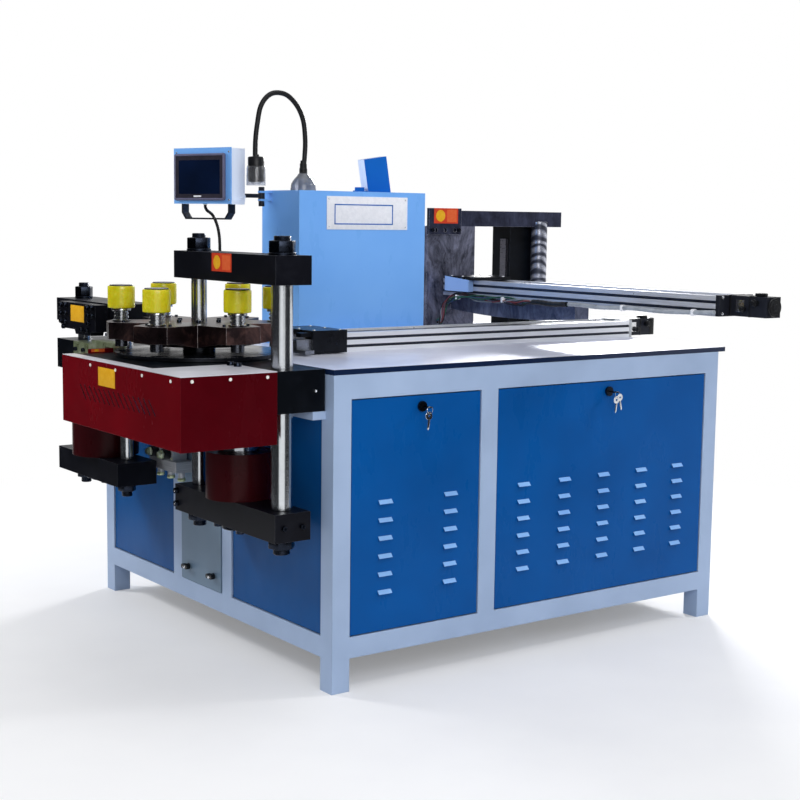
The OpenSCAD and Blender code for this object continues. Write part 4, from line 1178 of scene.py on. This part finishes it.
# ---- small steel parts of the presses ----
HEAD_END_BOLTS = [(560, 468), (560, 432)]
screws("head_end_bolts", NUT_BLACK, "press_a", "black_steel", "cap", 17, LEFT,
       [(-151, y, z) for y, z in HEAD_END_BOLTS])
screws("head_end_centres", CHROME, "press_a", "black_steel", "dome", 6, LEFT,
       [(-160.5, y, z) for y, z in HEAD_END_BOLTS])
turned_piece("cylinder_a_nut", NUT_BLACK, "press_a", "black_steel", (PRESS_X, 309.5, HEAD_LOW[0]), DOWN,
             [(0, 0), (0, 46), (10, 46), (12, 44), (12, 0)], 56)
turned_piece("cylinder_b_nut", NUT_BLACK, "press_b", "black_steel", (PRESS_B_X, 1035, HEAD_B_LOW[0]), DOWN,
             [(0, 0), (0, 46), (8, 46), (10, 44), (10, 0)], 56)


# ---- light, background and floor ----
def area_light(name, place, aim, width, height, power, seen=True):
    """A soft area lamp, in metres of the row frame, looking at a point; seen in reflections or not."""
    data = bpy.data.lights.new(name, "AREA")
    data.shape = "RECTANGLE"
    data.size = width
    data.size_y = height
    data.energy = power
    lamp_object = add_object(name, data)
    lamp_object.location = place
    lamp_object.visible_glossy = seen
    lamp_object.rotation_euler = (Vector(aim) - Vector(place)).to_track_quat("-Z", "Y").to_euler()


area_light("fill", (-1.8, -3.6, 2.3), (0.0, -0.2, 0.6), 2.4, 1.8, 62)
area_light("right", (4.4, -2.4, 3.9), (0.1, -0.3, 0.7), 0.8, 0.8, 104, seen=False)
area_light("right_back", (2.9, 2.5, 2.3), (0.4, -0.2, 0.9), 0.9, 0.9, 110)
area_light("left_back", (-2.6, 3.1, 2.6), (-0.5, 0.0, 0.6), 0.8, 0.8, 84, seen=False)
area_light("top", (0.0, -0.6, 4.2), (0.0, 0.0, 0.8), 2.6, 2.6, 30)

# Light and dark seen in reflections, by share of a turn round the object.
STUDIO_BANDS = [(0.0, 0.9), (0.13, 0.9), (0.16, 0.08), (0.4, 0.2), (0.46, 0.35), (0.48, 1.0), (0.52, 1.0),
                (0.545, 0.4), (0.68, 0.25), (0.72, 0.1), (0.76, 0.95), (1.0, 0.9)]
STUDIO_TURN = math.radians(126)
STUDIO_TOP = (0.62, 0.64, 0.68, 1)
FLOOR_HALF = 14
CARD_RADIUS, CARD_TOP = 2.2, 1.9
CARD_SPANS = [(112, 208), (252, 312)]


def make_world():
    """White to the camera and through glass, a studio of light and dark bands in reflections, soft light."""
    world = bpy.data.worlds.new("studio")
    scene.world = world
    w = Nodes(world)
    place = w.node("TexCoord").outputs["Generated"]
    turned = w.node("VectorRotate", place, rotation_type="Z_AXIS", Angle=STUDIO_TURN).outputs[0]
    flat = w.node("SeparateXYZ", turned).outputs
    share = w.calc("MULTIPLY_ADD", w.calc("ARCTAN2", flat["Y"], flat["X"]), 1 / (2 * math.pi), 0.5)
    height = w.node("SeparateXYZ", place).outputs["Z"]
    steep = w.node("MapRange", height, 0.45, 0.85, 0.0, 1.0).outputs[0]
    studio = w.mix(steep, w.ramp(share, *STUDIO_BANDS), STUDIO_TOP)
    soft, mirror, plain = (w.node("Background", *look).outputs[0]
                           for look in (("#eef2fb", 0.4), (studio, 0.95), (WHITE, 1.0)))
    path = w.node("LightPath").outputs
    seen = w.calc("MAXIMUM", path["Is Camera Ray"], path["Is Transmission Ray"])
    reflected = w.node("MixShader", path["Is Glossy Ray"], soft, mirror).outputs[0]
    w.node("OutputWorld", w.node("MixShader", seen, reflected, plain).outputs[0])


def stage_piece(name, verts, faces, finish):
    """A mesh of the surroundings, which is no part of the object."""
    mesh = bpy.data.meshes.new(name)
    mesh.from_pydata(verts, [], faces)
    mesh.materials.append(finish)
    made = add_object(name, mesh)
    return made


def floor_finish():
    """Pale floor that fades to white away from the object and keeps its shadow."""
    f = Finish("floor")
    f.place = f.node("NewGeometry").outputs["Position"]
    tone = f.between(f.noise(3, 3), 0.3, 0.7, "#f2f2f4", "#f7f7f8")
    away = f.node("VectorMath", f.place, operation="LENGTH").outputs["Value"]
    fade = f.ramp(f.calc("DIVIDE", away, 4.0), (0.28, 0.25), (0.75, 1.0))
    path = f.node("LightPath").outputs
    seen = f.calc("MAXIMUM", path["Is Camera Ray"], path["Is Transmission Ray"])
    seen = f.calc("MAXIMUM", seen, path["Is Glossy Ray"])
    glow = f.node("Emission", WHITE).outputs[0]
    look = f.node("MixShader", f.calc("MULTIPLY", fade, seen), f.shader.outputs[0], glow)
    f.put(f.output.inputs[0], look.outputs[0])
    return f.done(tone, f.noise(9, 2), 0.55, 0.65)


def make_floor():
    h = FLOOR_HALF
    stage_piece("floor", [(-h, -h, 0), (h, -h, 0), (h, h, 0), (-h, h, 0)], [(0, 1, 2, 3)], floor_finish())


def dark_cards():
    """Black cards round the studio that only reflections see, with a gap at the camera's side."""
    verts, faces = [], []
    for start, end in CARD_SPANS:
        steps = (end - start) // 4
        for step in range(steps + 1):
            a = math.radians(start + (end - start) * step / steps)
            verts += [(CARD_RADIUS * math.cos(a), CARD_RADIUS * math.sin(a), z) for z in (0.0, CARD_TOP)]
            if step:
                n = len(verts)
                faces.append((n - 4, n - 2, n - 1, n - 3))
    f = Finish("card_black")
    tone = f.ramp(f.noise(2, 2), (0.3, "#101114"), (0.7, "#1a1c20"))
    cards = stage_piece("dark_cards", verts, faces, f.done(tone, f.noise(5, 2), 0.8, 0.9))
    for kind in ("camera", "diffuse", "transmission", "volume_scatter", "shadow"):
        setattr(cards, f"visible_{kind}", False)


make_world()
make_floor()
dark_cards()
scene.view_settings.view_transform = "Standard"
